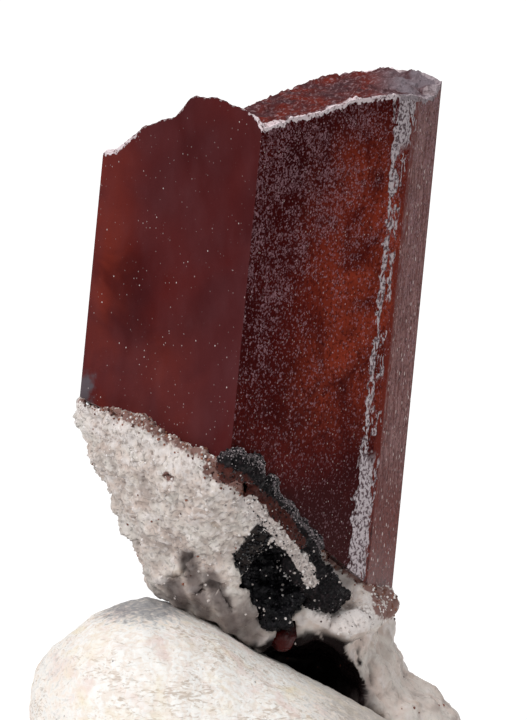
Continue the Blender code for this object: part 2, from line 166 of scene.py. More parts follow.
def add_node(
    tree: bpy.types.NodeTree, kind: str, feeds: dict[int | str, object], **settings: str
) -> bpy.types.Node:
    """Adds a node to a tree.

    Args:
        tree: The tree.
        kind: The node's type.
        feeds: What its inputs take, by their names or numbers: sockets or values.
        **settings: Its options.

    Returns:
        The node.
    """
    made = tree.nodes.new(kind)
    for key, value in settings.items():
        setattr(made, key, value)
    for key, value in feeds.items():
        feed(tree, made.inputs[key], value)
    return made


class Shader:
    """A node material in the making, with short calls for the nodes that it needs most.

    Sizes and distances are in millimetres, and place is the place in object coordinates.
    """

    def __init__(self, name: str) -> None:
        """Starts a material with its Principled shader.

        Args:
            name: The material's name.
        """
        self.material = bpy.data.materials.new(name)
        self.material.use_nodes = True
        self.tree = self.material.node_tree
        self.surface = self.tree.nodes["Principled BSDF"]
        source = self.node("ShaderNodeTexCoord", {}).outputs["Object"]
        self.place = self.vector(Sum.SCALE, source, 1 / MM)

    def node(self, kind: str, feeds: dict[int | str, object], **settings: str) -> bpy.types.Node:
        """Adds a node to the material."""
        return add_node(self.tree, kind, feeds, **settings)

    def vector(self, operation: Sum, first: Socket, second: "float | tuple") -> Socket:
        """Adds a Vector Math node and gives its result.

        Args:
            operation: The sum.
            first: The first vector.
            second: The second vector, or the factor that scales the first.

        Returns:
            The result.
        """
        feeds = {0: first, "Scale" if operation is Sum.SCALE else 1: second}
        made = self.node("ShaderNodeVectorMath", feeds, operation=operation.value)
        return made.outputs["Value" if operation is Sum.DOT else "Vector"]

    def math(self, operation: Sum, values: "tuple[Socket | float, ...]") -> Socket:
        """Chains Math nodes over two or more values and gives their result.

        Args:
            operation: The sum.
            values: The values.

        Returns:
            The result.
        """
        result = values[0]
        for value in values[1:]:
            feeds = {0: result, 1: value}
            result = self.node("ShaderNodeMath", feeds, operation=operation.value).outputs[0]
        return result

    def add(self, *values: "Socket | float") -> Socket:
        """Adds its values up."""
        return self.math(Sum.ADD, values)

    def less(self, *values: "Socket | float") -> Socket:
        """Takes the later values from the first."""
        return self.math(Sum.SUBTRACT, values)

    def times(self, *values: "Socket | float") -> Socket:
        """Multiplies its values."""
        return self.math(Sum.MULTIPLY, values)

    def most(self, *values: "Socket | float") -> Socket:
        """Gives the largest of its values."""
        return self.math(Sum.MAXIMUM, values)

    def attribute(self, name: str) -> Socket:
        """Gives a number that the piece holds at each of its points."""
        return self.node("ShaderNodeAttribute", {}, attribute_name=name).outputs["Fac"]

    def along(self, direction: tuple, offset: float) -> Socket:
        """Gives the coordinate along a direction, less an offset."""
        return self.less(self.vector(Sum.DOT, self.place, direction), offset)

    def stretched(self, *factors: float) -> Socket:
        """Gives the place with its three parts multiplied, which stretches a pattern."""
        return self.vector(Sum.MULTIPLY, self.place, factors)

    def moved(self, *shifts: float) -> Socket:
        """Gives the place with its three parts shifted, which gives a pattern of its own."""
        return self.vector(Sum.ADD, self.place, shifts)

    def noise(
        self, size: float, detail: float = 2.0, warp: float = 0.0, at: Socket | None = None
    ) -> Socket:
        """Gives soft noise between 0 and 1 with features of this size.

        Args:
            size: The features' size.
            detail: How many finer layers it has.
            warp: How far it is distorted.
            at: The place that it reads, if not the plain one.

        Returns:
            The noise.
        """
        feeds = {
            "Vector": self.place if at is None else at,
            "Scale": 1 / size,
            "Detail": detail,
            "Distortion": warp,
        }
        return self.node("ShaderNodeTexNoise", feeds).outputs["Fac"]

    def cells(self, size: float, at: Socket | None = None) -> tuple[Socket, list[Socket]]:
        """Gives the distance to the nearest of scattered points, and its three random numbers.

        Args:
            size: How far the points lie apart.
            at: The place that it reads, if not the plain one.

        Returns:
            The distance, and the three random numbers.
        """
        feeds = {"Vector": self.place if at is None else at, "Scale": 1 / size}
        made = self.node("ShaderNodeTexVoronoi", feeds)
        split = self.node("ShaderNodeSeparateColor", {0: made.outputs["Color"]})
        return self.times(made.outputs["Distance"], size), list(split.outputs)

    def step(self, value: Socket, low: float, high: float, top: float = 1.0) -> Socket:
        """Gives 0 below low, top above high and a smooth step between. Low may be the larger.

        Args:
            value: The value.
            low: Where the step leaves 0.
            high: Where it reaches its top.
            top: How high it gets.

        Returns:
            The step.
        """
        ends = (low, high, 0.0, top) if low < high else (high, low, top, 0.0)
        names = ("From Min", "From Max", "To Min", "To Max")
        feeds = {"Value": value, **dict(zip(names, ends))}
        made = self.node("ShaderNodeMapRange", feeds, interpolation_type="SMOOTHSTEP")
        return made.outputs["Result"]

    def gate(self, value: Socket, *ends: float) -> Socket:
        """Gives 1 in a band: it rises between the first two ends and falls between the others."""
        return self.times(self.step(value, ends[0], ends[1]), self.step(value, ends[3], ends[2]))

    def swing(self, value: Socket, reach: float) -> Socket:
        """Turns noise from 0 to 1 into a shift to either side."""
        return self.times(self.less(value, 0.5), reach)

    def mix(self, share: Socket, first: "Socket | Colour", second: "Socket | Colour") -> Socket:
        """Blends two colours by a share."""
        feeds = {"Factor": share, 6: first, 7: second}
        return self.node("ShaderNodeMix", feeds, data_type="RGBA").outputs[2]

    def bump(self, height: Socket, depth: float, strength: float) -> None:
        """Puts a relief of this depth on the surface's normal.

        Args:
            height: The relief, from 0 to 1.
            depth: Its depth.
            strength: How much of it shows.
        """
        feeds = {"Strength": strength, "Distance": depth * MM, "Height": height}
        before = self.surface.inputs["Normal"]
        if before.is_linked:
            feeds["Normal"] = before.links[0].from_socket
        made = self.node("ShaderNodeBump", feeds)
        self.tree.links.new(made.outputs["Normal"], before)

    def finish(
        self, colour: "Socket | Colour", roughness: "Socket | float", specular: float
    ) -> bpy.types.Material:
        """Feeds the surface and gives the finished material.

        Args:
            colour: The surface's colour.
            roughness: Its roughness.
            specular: How much it mirrors.

        Returns:
            The material.
        """
        feed(self.tree, self.surface.inputs["Base Color"], colour)
        feed(self.tree, self.surface.inputs["Roughness"], roughness)
        self.surface.inputs["Specular IOR Level"].default_value = specular
        return self.material


class PrismShader(Shader):
    """The crystal's material in the making, with places measured along its faces.

    It has the distances across (to the right of the front edge) and back (behind it), the height
    upright, the depth below the rim, which is negative on the top, and the shares on_right and
    on_left, which are 1 on the faces to the right and to the left of the front edge.
    """

    def __init__(self, name: str) -> None:
        """Starts the material and measures the faces.

        Args:
            name: The material's name.
        """
        super().__init__(name)
        self.upright = self.vector(Sum.DOT, self.place, (0.0, 0.0, 1.0))
        edge = FRONT_EDGE.x / MM - LEAN * FRONT_EDGE.z / MM
        self.across = self.along((1.0, 0.0, -LEAN), edge)
        self.back = self.along((0.0, 1.0, 0.0), FRONT_EDGE.y / MM)
        rim = self.node("ShaderNodeUVMap", {}, uv_map="rim").outputs[0]
        self.below = self.node("ShaderNodeSeparateXYZ", {0: rim}).outputs["Y"]
        self.on_right = self.step(self.across, -0.05, 0.05)
        self.on_left = self.less(1.0, self.on_right)


@dataclass(frozen=True)
class TopazFinish:
    """Dark red topaz filled with sand: painted glow and sheen, dust, specks, an etched strip and a
    rim.
    """

    deep: Colour = (0.034, 0.0030, 0.0036)
    red: Colour = (0.092, 0.0082, 0.0060)
    painted_glow: Colour = (0.30, 0.042, 0.020)
    painted_sheen: Colour = (0.095, 0.022, 0.024)
    dust: Colour = (0.34, 0.19, 0.22)
    speck: Colour = (0.78, 0.66, 0.64)
    etched: Colour = (0.66, 0.58, 0.61)
    etched_dark: Colour = (0.13, 0.085, 0.095)
    corner_grey: Colour = (0.11, 0.10, 0.115)
    blood: Colour = (0.16, 0.020, 0.012)
    # The narrow face's brown: partly its own colour, partly a painted sheen.
    brown: Colour = (0.44, 0.25, 0.24)
    break_dark: Colour = (0.075, 0.030, 0.034)
    break_pale: Colour = (0.36, 0.23, 0.245)
    # The rim's frost: partly its own frosted colour, partly a painted highlight.
    frost: Colour = (0.88, 0.75, 0.78)
    blue_grey: Colour = (0.24, 0.235, 0.27)
    gloss: float = 0.16
    specular: float = 0.04
    refraction: float = 1.45

    def build(self) -> bpy.types.Material:
        """Makes the material. It reads the UV map "rim", whose V is the depth under the rim.

        Returns:
            The material.
        """
        s = PrismShader("sanded topaz")
        narrow = s.step(s.across, NARROW_STARTS, NARROW_STARTS + 0.15)
        narrow = s.times(narrow, s.step(s.back, 26.0, 24.0))
        lines = s.noise(0.2, 1.0, at=s.stretched(1.0, 1.0, 0.03))
        colour = s.mix(s.times(narrow, 0.9), self.body(s), self.narrow_side(s, lines))
        colour = self.bruised_corner(s, self.dusting(s, colour))
        colour, strip = self.strip(s, colour)
        colour = self.specks(s, self.dashes(s, colour, narrow))
        colour, broken = self.broken_top(s, colour)
        haze = s.step(s.noise(1.4, 3.0), 0.3, 0.8, 0.14)
        rough = s.add(s.step(broken, 0.0, 1.0, 0.42), s.times(strip, 0.3), haze, self.gloss)
        fine = s.noise(0.13)
        s.bump(s.times(fine, s.add(strip, s.add(broken, 0.06))), 0.12, 0.8)
        s.bump(s.times(lines, narrow), 0.03, 0.7)
        s.surface.inputs["IOR"].default_value = self.refraction
        return s.finish(colour, rough, self.specular)

    def body(self, s: PrismShader) -> Socket:
        """Colours the body: deep red, a painted glow of light near the edges and a painted sheen
        on the left face.

        Args:
            s: The material.

        Returns:
            The colour.
        """
        clouds = s.noise(9.0, 2.0, 0.4)
        colour = s.mix(s.step(clouds, 0.35, 0.7), self.deep, self.red)
        # Painted light: the glow where light shines through the crystal near its edges.
        right_glow = s.times(s.step(s.across, 2.5, 8.5), s.step(s.upright, 30.0, 38.0))
        right_glow = s.times(right_glow, s.step(s.upright, 61.0, 53.0))
        left_glow = s.step(s.across, -8.0, -12.4, 0.75)
        low_glow = s.gate(s.across, -11.0, -6.0, -5.0, -1.0)
        low_glow = s.times(low_glow, s.step(s.upright, 46.0, 38.0, 0.5))
        glow = s.most(right_glow, s.most(left_glow, low_glow))
        patches = s.noise(4.0, 3.0, 0.6)
        colour = s.mix(s.times(glow, s.step(patches, 0.2, 0.65, 0.9)), colour, self.painted_glow)
        low = s.add(s.upright, s.times(patches, 5.0))
        colour = s.mix(s.step(low, 36.0, 28.0, 0.95), colour, self.deep)
        # Painted sheen: the grey reflection of soft light on the left face.
        painted_sheen = s.noise(5.0, 4.0, 0.3, s.stretched(1.0, 1.0, 0.5))
        return s.mix(s.times(s.on_left, s.step(painted_sheen, 0.1, 0.7, 0.72)), colour, self.painted_sheen)

    def narrow_side(self, s: PrismShader, lines: Socket) -> Socket:
        """Colours the narrow face: brown with fine upright lines, partly a painted sheen, and red
        at its foot.

        Args:
            s: The material.
            lines: The noise that draws the upright lines.

        Returns:
            The colour.
        """
        # Partly painted sheen: the brown stands for the face's own colour and its grazing
        # reflection.
        brown = s.mix(s.step(lines, 0.1, 0.9), self.red, self.brown)
        foot = s.add(s.upright, s.times(s.noise(1.5, 3.0), 3.0))
        return s.mix(s.step(foot, RED_FOOT_TOP, RED_FOOT_TOP - 8.0, 0.85), brown, self.blood)

    def dusting(self, s: PrismShader, colour: Socket) -> Socket:
        """Lays lilac dust on the faces: thick and patchy on the right one, thin on the left.

        Args:
            s: The material.
            colour: The colour so far.

        Returns:
            The new colour.
        """
        grit = s.noise(0.28, 3.0, 0.6)
        colour = s.mix(s.times(s.on_right, s.step(grit, 0.48, 0.64, 0.6)), colour, self.deep)
        high = s.step(s.upright, 30.0, 60.0, 0.34)
        near_edge = s.step(s.across, 7.0, 0.0, 0.08)
        density = s.add(s.noise(3.2, 3.0, 0.5), high, near_edge)
        rightward = s.times(s.step(s.across, 5.0, 11.0, 0.12), s.step(s.across, 12.2, 12.0))
        density = s.step(s.less(density, rightward), 0.55, 1.0)
        density = s.times(density, s.step(s.upright, 20.0, 36.0))
        crowd = s.add(s.times(density, 0.24), s.times(s.noise(0.4, 3.0, 0.5), 0.5))
        fade = s.add(s.step(s.upright, 26.0, 40.0, 0.5), 0.5)
        for size, share in ((0.12, 0.85), (0.17, 0.6)):
            _, chance = s.cells(size)
            lit = s.step(s.add(chance[0], crowd), 1.13, 1.25)
            tone = s.step(chance[1], -0.3, 1.0, share)
            colour = s.mix(s.times(lit, tone, s.on_right, fade), colour, self.dust)
        haze = s.noise(1.6, 4.0, at=s.stretched(1.0, 1.0, 0.5))
        return s.mix(s.times(s.on_left, s.step(haze, 0.3, 0.9, 0.045)), colour, self.dust)

    def bruised_corner(self, s: PrismShader, colour: Socket) -> Socket:
        """Greys the left face's lowest corner.

        Args:
            s: The material.
            colour: The colour so far.

        Returns:
            The new colour.
        """
        height = s.add(s.upright, s.times(s.noise(0.9, 3.0), 2.4))
        edge = s.add(s.across, s.times(s.noise(0.6, 3.0), 1.4))
        corner = s.times(s.step(height, 39.9, 38.9), s.step(edge, -10.5, -11.2, 0.85))
        return s.mix(corner, colour, self.corner_grey)

    def strip(self, s: PrismShader, colour: Socket) -> tuple[Socket, Socket]:
        """Adds the etched strip beside the narrow face, and the red line to its right.

        Args:
            s: The material.
            colour: The colour so far.

        Returns:
            The colour, and the share of the surface that is etched.
        """
        flakes = s.noise(0.65, 5.0, 0.6, s.stretched(1.0, 1.0, 0.6))
        drift = s.times(s.less(58.0, s.upright), -0.008)
        local = s.less(s.across, s.swing(flakes, 2.0), drift)
        wide = s.gate(local, STRIP_STARTS, STRIP_STARTS + 0.1, NARROW_STARTS, NARROW_STARTS + 0.1)
        ends = s.most(s.step(s.upright, 55.4, 56.4), s.step(s.upright, 31.5, 29.5))
        streak = s.gate(local, 10.85, 10.95, 11.2, 11.35)
        breaks = s.noise(2.2, at=s.stretched(0.2, 0.2, 1.0))
        second = s.times(s.gate(local, 11.55, 11.62, 11.78, 11.85), s.step(breaks, 0.46, 0.5))
        mask = s.most(s.times(wide, ends), s.most(streak, second))
        mask = s.times(mask, s.step(s.back, 17.5, 16.5))
        red = s.times(s.gate(local, 11.9, 12.1, 12.3, 12.7), s.step(s.back, 18.0, 17.0))
        colour = s.mix(s.times(red, 0.75), colour, self.blood)
        pale = s.mix(s.step(s.noise(0.26, 4.0), 0.4, 0.56), self.etched_dark, self.etched)
        return s.mix(s.times(mask, 0.95), colour, pale), mask

    def dashes(self, s: PrismShader, colour: Socket, narrow: Socket) -> Socket:
        """Sprinkles short pale and red dashes over the narrow face.

        Args:
            s: The material.
            colour: The colour so far.
            narrow: The narrow face's share of the surface.

        Returns:
            The new colour.
        """
        distance, chance = s.cells(0.32, s.stretched(1.8, 0.8, 0.5))
        dash = s.times(s.step(distance, 0.1, 0.06), s.step(chance[0], 0.2, 0.9), narrow)
        return s.mix(dash, colour, s.mix(s.step(chance[1], 0.4, 0.6), self.blood, self.speck))

    def specks(self, s: PrismShader, colour: Socket) -> Socket:
        """Scatters bright grains in patches, more of them on the right.

        Args:
            s: The material.
            colour: The colour so far.

        Returns:
            The new colour.
        """
        crowd = s.step(s.noise(2.4, 3.0, 0.6), 0.3, 0.6)
        more = s.times(s.most(s.on_right, 0.4), crowd)
        for size, radius, where in ((0.5, 0.055, crowd), (0.36, 0.052, more)):
            distance, chance = s.cells(size, s.stretched(1.0, 1.0, 0.7))
            spot = s.times(s.step(distance, radius, radius * 0.5), where)
            colour = s.mix(s.times(spot, s.step(chance[0], 0.2, 1.0)), colour, self.speck)
        return colour

    def broken_top(self, s: PrismShader, colour: Socket) -> tuple[Socket, Socket]:
        """Colours the broken top and its frosted rim, whose pale frost is partly a painted
        highlight.

        Args:
            s: The material.
            colour: The colour so far.

        Returns:
            The colour, and the share of the surface that is broken.
        """
        edge = s.add(s.below, s.swing(s.noise(0.4, 3.0), -0.9))
        edge = s.less(edge, s.step(s.across, -1.0, 0.3, 0.32))
        edge = s.less(edge, s.step(s.across, -9.0, -10.5, 0.2))
        broken = s.step(edge, 0.06, 0.0)
        patches = s.noise(2.4, 4.0, 0.5)
        sugar = s.noise(0.3, 3.0)
        top = s.mix(s.step(patches, 0.35, 0.7), self.break_dark, self.blood)
        top = s.mix(s.step(sugar, 0.5, 0.75, 0.8), top, self.break_pale)
        bluish = s.times(s.step(s.across, 8.0, 11.5), s.step(patches, 0.35, 0.6))
        top = s.mix(s.times(bluish, 0.7), top, self.blue_grey)
        # The frosted rim: partly its own frosted grain, partly a painted highlight where it
        # catches light from above.
        frosted = s.times(s.step(s.below, -0.9, -0.4), s.step(s.across, -2.5, -0.5))
        frosted = s.times(frosted, s.step(s.across, 11.6, 10.4))
        notch = s.times(s.step(s.across, -2.0, -0.6), s.step(s.across, 3.0, 1.2, 0.8))
        notch = s.times(notch, s.step(s.below, -2.6, -1.4))
        left_end = s.times(s.step(s.across, -9.0, -10.5), s.step(s.below, -0.8, -0.3))
        frosted = s.most(frosted, s.most(notch, left_end))
        frosted = s.most(frosted, s.step(s.below, -0.6, -0.4, 0.3))
        top = s.mix(s.times(frosted, s.step(sugar, 0.28, 0.5)), top, self.frost)
        return s.mix(broken, colour, top), broken


@dataclass(frozen=True)
class RockFinish:
    """A pale rock: two mingled tones, paler and darker grains, stains, dark specks and painted
    shade.

    The piece holds these attributes: "relief", how high a point of a grain stands, which also
    places the painted shade between the grains; "tone", a random number for each grain; "grainy",
    the grains' height; and the shares of brown "rust", of clean "ridge", of black mineral "soot",
    of painted shade in its grooves and under it ("gloom") and of painted shadow in its hollow
    ("murk").
    """

    pale: Colour = (0.76, 0.71, 0.66)
    warm: Colour = (0.70, 0.58, 0.52)
    shade: Colour = (0.42, 0.35, 0.32)
    stain: Colour = (0.46, 0.34, 0.25)
    dark: Colour = (0.010, 0.006, 0.006)
    # The colour of painted shade in creases, grooves and under the rock.
    crevice_shade: Colour = (0.10, 0.075, 0.072)
    white: Colour = (0.86, 0.80, 0.78)
    rust: Colour = (0.16, 0.045, 0.028)
    patch: float = 2.2
    grain: float = 0.45
    stain_from: float = 0.60
    speck_spacing: float = 1.7
    speck_radius: float = 0.16
    roughness: float = 0.85
    relief: float = 0.12
    specular: float = 0.06

    def build(self) -> bpy.types.Material:
        """Makes the material.

        Returns:
            The material.
        """
        s = Shader("sugary rhyolite")
        tone = s.noise(self.patch, 4.0, 0.5)
        fine = s.noise(self.grain, 4.0, 0.3)
        colour = s.mix(s.step(tone, 0.3, 0.7), self.pale, self.warm)
        colour = s.mix(s.step(fine, 0.56, 0.74, 0.6), colour, self.shade)
        blotch = s.noise(2.0, 6.0, 0.6, s.moved(5.0, 17.0, 3.0))
        colour = s.mix(s.step(blotch, 0.48, 0.7, 0.75), colour, self.shade)
        colour = s.mix(s.step(blotch, 0.44, 0.3, 0.7), colour, self.white)
        grainy = s.step(s.attribute("grainy"), 0.0, 1.0)
        tint = s.attribute("tone")
        whiter = s.times(s.step(tint, 0.5, 1.0), grainy)
        colour = s.mix(s.times(whiter, 0.7), colour, self.white)
        darker = s.times(s.step(tint, 0.22, 0.0), grainy)
        colour = s.mix(s.times(darker, 0.5), colour, self.shade)
        # Painted shade in the gaps between the grains.
        gap = s.add(s.attribute("relief"), s.swing(fine, 1.2))
        colour = s.mix(s.times(s.step(gap, 0.2, -0.1), grainy, 0.5), colour, self.crevice_shade)
        stains = s.noise(self.patch * 1.3, 3.0, 0.8, s.moved(31.0, 7.0, 13.0))
        stained = s.step(stains, self.stain_from, self.stain_from + 0.16, 0.6)
        colour = s.mix(stained, colour, self.stain)
        distance, _ = s.cells(self.speck_spacing)
        speck = s.step(distance, self.speck_radius, self.speck_radius * 0.5)
        colour = s.mix(s.times(speck, s.step(tone, 0.35, 0.6, 0.85)), colour, self.dark)
        ragged = s.swing(fine, 1.6)
        # Painted shade in the grooves, on the leg's inner side and under the rock.
        soft = s.add(s.attribute("gloom"), s.times(ragged, 0.25))
        colour = s.mix(s.step(soft, 0.05, 1.1, 0.85), colour, self.crevice_shade)
        for name, paint, most in (
            ("ridge", self.white, 0.75),
            ("rust", self.rust, 0.85),
            ("soot", self.dark, 0.97),
        ):
            share = s.attribute(name)
            torn = s.step(s.add(share, ragged), 0.3, 0.8, most)
            colour = s.mix(s.times(torn, s.step(share, 0.0, 0.2)), colour, paint)
        # Painted shadow: the hollow under the rock darkened to near black.
        colour = s.mix(s.attribute("murk"), colour, self.dark)
        s.bump(fine, self.relief, 0.9)
        s.bump(s.noise(self.grain * 0.35, 3.0), self.relief * 0.5, 0.8)
        return s.finish(colour, s.step(fine, 0.2, 0.9, self.roughness), self.specular)


@dataclass(frozen=True)
class StoneFinish:
    """A rounded cream stone, finely mottled, with tints, dark specks, a lichen-grey top and
    painted shadow on its right end.
    """

    cream: Colour = (0.88, 0.80, 0.73)
    white: Colour = (0.97, 0.95, 0.92)
    tan: Colour = (0.52, 0.42, 0.34)
    pink: Colour = (0.84, 0.66, 0.61)
    yellow: Colour = (0.86, 0.74, 0.52)
    grey: Colour = (0.20, 0.20, 0.215)
    shade: Colour = (0.40, 0.34, 0.30)
    speck: Colour = (0.09, 0.08, 0.085)
    roughness: float = 0.75
    specular: float = 0.3

    def build(self) -> bpy.types.Material:
        """Makes the material. It reads the shares of "grey" crust and of "shade".

        Returns:
            The material.
        """
        s = Shader("cream stone")
        grain = s.noise(0.5, 5.0, 0.6)
        fibres = s.noise(0.4, 3.0, 1.2, s.stretched(0.5, 1.0, 1.6))
        colour = s.mix(s.step(grain, 0.35, 0.6), self.cream, self.white)
        worn = s.add(fibres, s.swing(s.noise(4.5, 3.0, 0.4), 0.5))
        colour = s.mix(s.step(worn, 0.52, 0.72, 0.75), colour, self.tan)
        for offset, tint, size in (
            ((9.0, 3.0, 4.0), self.pink, 2.6),
            ((2.0, 8.0, 6.0), self.yellow, 3.4),
        ):
            patch = s.noise(size, 4.0, 0.8, s.moved(*offset))
            colour = s.mix(s.step(patch, 0.5, 0.8, 0.7), colour, tint)
        torn = s.swing(grain, 1.5)
        # Painted shadow on the right end, and the grey on the upper left.
        for name, paint, most in (("shade", self.shade, 0.75), ("grey", self.grey, 0.85)):
            share = s.step(s.add(s.attribute(name), torn), 0.15, 0.95, most)
            colour = s.mix(s.times(share, s.step(s.attribute(name), 0.0, 0.15)), colour, paint)
        distance, chance = s.cells(0.8, s.stretched(1.0, 1.0, 0.6))
        speck = s.times(s.step(distance, 0.09, 0.05), s.step(chance[0], 0.7, 0.8, 0.8))
        s.bump(grain, 0.16, 0.8)
        s.bump(fibres, 0.08, 0.8)
        return s.finish(s.mix(speck, colour, self.speck), self.roughness, self.specular)


@dataclass(frozen=True)
class MineralFinish:
    """A dark, granular, glittering mineral.

    The piece holds the shares of grey "frost", brown "rust" and pale "ridge" as attributes.
    """

    name: str = "black crust"
    black: Colour = (0.006, 0.005, 0.006)
    grey: Colour = (0.024, 0.017, 0.019)
    frost: Colour = (0.20, 0.165, 0.175)
    rust: Colour = (0.075, 0.018, 0.013)
    ridge: Colour = (0.66, 0.58, 0.55)
    frost_from: float = 0.68
    roughness: float = 0.3
    specular: float = 0.12

    def build(self) -> bpy.types.Material:
        """Makes the material.

        Returns:
            The material.
        """
        s = Shader(self.name)
        _, chance = s.cells(0.2)
        colour = s.mix(s.step(chance[0], 0.55, 1.0), self.black, self.grey)
        spread = s.add(s.noise(0.8, 4.0, 0.5), s.times(s.attribute("frost"), 0.35))
        frosted = s.step(spread, self.frost_from, self.frost_from + 0.2)
        frosted = s.times(frosted, s.step(chance[1], 0.3, 0.9))
        ragged = s.swing(s.noise(0.4, 3.0), 1.8)
        for name, paint in (("rust", self.rust), ("ridge", self.ridge)):
            share = s.attribute(name)
            torn = s.times(s.step(s.add(share, ragged), 0.3, 0.7), s.step(share, 0.0, 0.2))
            colour = s.mix(s.times(torn, s.step(chance[2], -0.6, 0.6)), colour, paint)
        colour = s.mix(s.times(frosted, 0.85), colour, self.frost)
        uneven = s.step(chance[2], 0.0, 1.0, 0.3)
        s.bump(s.noise(0.12), 0.05, 0.8)
        rough = s.add(s.times(frosted, 0.3), uneven, self.roughness)
        return s.finish(colour, rough, self.specular)


@dataclass(frozen=True)
class GrainFinish:
    """Loose grains: each takes a tone between two, by its own random number."""

    name: str
    dark: Colour
    pale: Colour
    roughness: float
    specular: float = 0.5

    def build(self) -> bpy.types.Material:
        """Makes the material.

        Returns:
            The material.
        """
        s = Shader(self.name)
        share = s.add(s.times(s.attribute("tint"), 0.8), s.times(s.noise(0.2), 0.3))
        colour = s.mix(s.step(share, 0.1, 0.95), self.dark, self.pale)
        return s.finish(colour, self.roughness, self.specular)


@dataclass(frozen=True)
class SmallTopazFinish:
    """Clear dark red topaz, black towards its top, where the pocket shades it."""

    red: Colour = (0.055, 0.003, 0.0025)
    black: Colour = (0.008, 0.002, 0.002)
    specular: float = 0.2

    def build(self) -> bpy.types.Material:
        """Makes the material.

        Returns:
            The material.
        """
        s = Shader("small topaz")
        level = s.vector(Sum.DOT, s.place, (0.0, 0.0, 1.0))
        ragged = s.add(level, s.times(s.noise(0.8, 3.0), 2.4))
        colour = s.mix(s.step(ragged, 17.6, 19.4), self.red, self.black)
        s.bump(s.noise(0.3, 3.0), 0.08, 0.7)
        return s.finish(colour, s.step(s.noise(0.4), 0.2, 0.9, 0.5), self.specular)


POCKET_FINISH = MineralFinish(
    name="pocket black",
    black=(0.003, 0.003, 0.004),
    grey=(0.016, 0.014, 0.017),
    frost=(0.40, 0.37, 0.37),
    rust=(0.06, 0.014, 0.010),
    frost_from=0.64,
    roughness=0.22,
)
QUARTZ_GRAINS = GrainFinish("quartz grains", (0.52, 0.45, 0.42), (0.86, 0.81, 0.79), 0.4)
RUSTY_GRAINS = GrainFinish("rusty grains", (0.04, 0.010, 0.008), (0.30, 0.12, 0.075), 0.35, 0.3)
BLACK_GRAINS = GrainFinish("black grains", (0.001, 0.001, 0.002), (0.010, 0.009, 0.011), 0.16, 0.3)
FROSTY_GRAINS = GrainFinish("frosty grains", (0.04, 0.03, 0.033), (0.42, 0.36, 0.37), 0.35)


def deselect() -> None:
    """Deselects every object."""
    if bpy.context.mode != "OBJECT":
        bpy.ops.object.mode_set(mode="OBJECT")
    bpy.ops.object.select_all(action="DESELECT")


def take_up(obj: bpy.types.Object) -> None:
    """Makes an object the only selected and the active one.

    Args:
        obj: The object.
    """
    deselect()
    obj.select_set(True)
    bpy.context.view_layer.objects.active = obj


def copy_of(node: str, name: str) -> bpy.types.Object:
    """Copies a node's mesh into a new piece and merges its loose triangles.

    Args:
        node: The node to copy.
        name: The new piece's name.

    Returns:
        The new piece, which stands for the node and rides on its body.
    """
    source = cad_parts[node]
    piece = bpy.data.objects.new(name, source.data.copy())
    bpy.context.scene.collection.objects.link(piece)
    piece.data.materials.clear()
    take_up(piece)
    bpy.ops.object.mode_set(mode="EDIT")
    bpy.ops.mesh.select_all(action="SELECT")
    bpy.ops.mesh.remove_doubles(threshold=1e-6)
    bpy.ops.object.mode_set(mode="OBJECT")
    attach(piece, "root")
    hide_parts(node)
    return piece


def apply_all(piece: bpy.types.Object) -> None:
    """Applies every modifier of a piece, in order.

    Args:
        piece: The piece.
    """
    take_up(piece)
    for modifier in list(piece.modifiers):
        bpy.ops.object.modifier_apply(modifier=modifier.name)


def fine_skin(piece: bpy.types.Object, voxel: float) -> None:
    """Rebuilds a piece's skin with small, even faces.

    Args:
        piece: The piece to rebuild.
        voxel: The faces' size in millimetres.
    """
    remesh = piece.modifiers.new("fine skin", "REMESH")
    remesh.mode = "VOXEL"
    remesh.voxel_size = voxel * MM
    remesh.use_smooth_shade = True
    apply_all(piece)


def roughen(
    piece: bpy.types.Object, size: float, depth: float, level: float = 0.5, group: str = ""
) -> None:
    """Pushes a piece's skin in and out by a cloudy texture.

    Args:
        piece: The piece to roughen.
        size: The size of its features in millimetres.
        depth: How far the skin moves in all, in millimetres.
        level: The texture value that leaves the skin where it is.
        group: The vertex group that limits it, if any.
    """
    texture = bpy.data.textures.new(f"{piece.name} {size}", "CLOUDS")
    texture.noise_scale = size * MM
    texture.noise_depth = 3
    displace = piece.modifiers.new("roughen", "DISPLACE")
    displace.texture = texture
    displace.texture_coords = "LOCAL"
    displace.strength = depth * MM
    displace.mid_level = level
    displace.vertex_group = group


def note(piece: bpy.types.Object, name: str, values: list[float]) -> None:
    """Stores a number for each point of a piece."""
    piece.data.attributes.new(name, "FLOAT", "POINT").data.foreach_set("value", values)


def reshape(piece: bpy.types.Object, places: list[float]) -> None:
    """Moves every point of a piece to a new place."""
    piece.data.vertices.foreach_set("co", places)
    piece.data.update()


def mark(piece: bpy.types.Object, name: str, rule: Rule) -> None:
    """Stores a rule's value, by place and normal, for each point of a piece."""
    note(piece, name, [rule(vertex.co, vertex.normal) for vertex in piece.data.vertices])


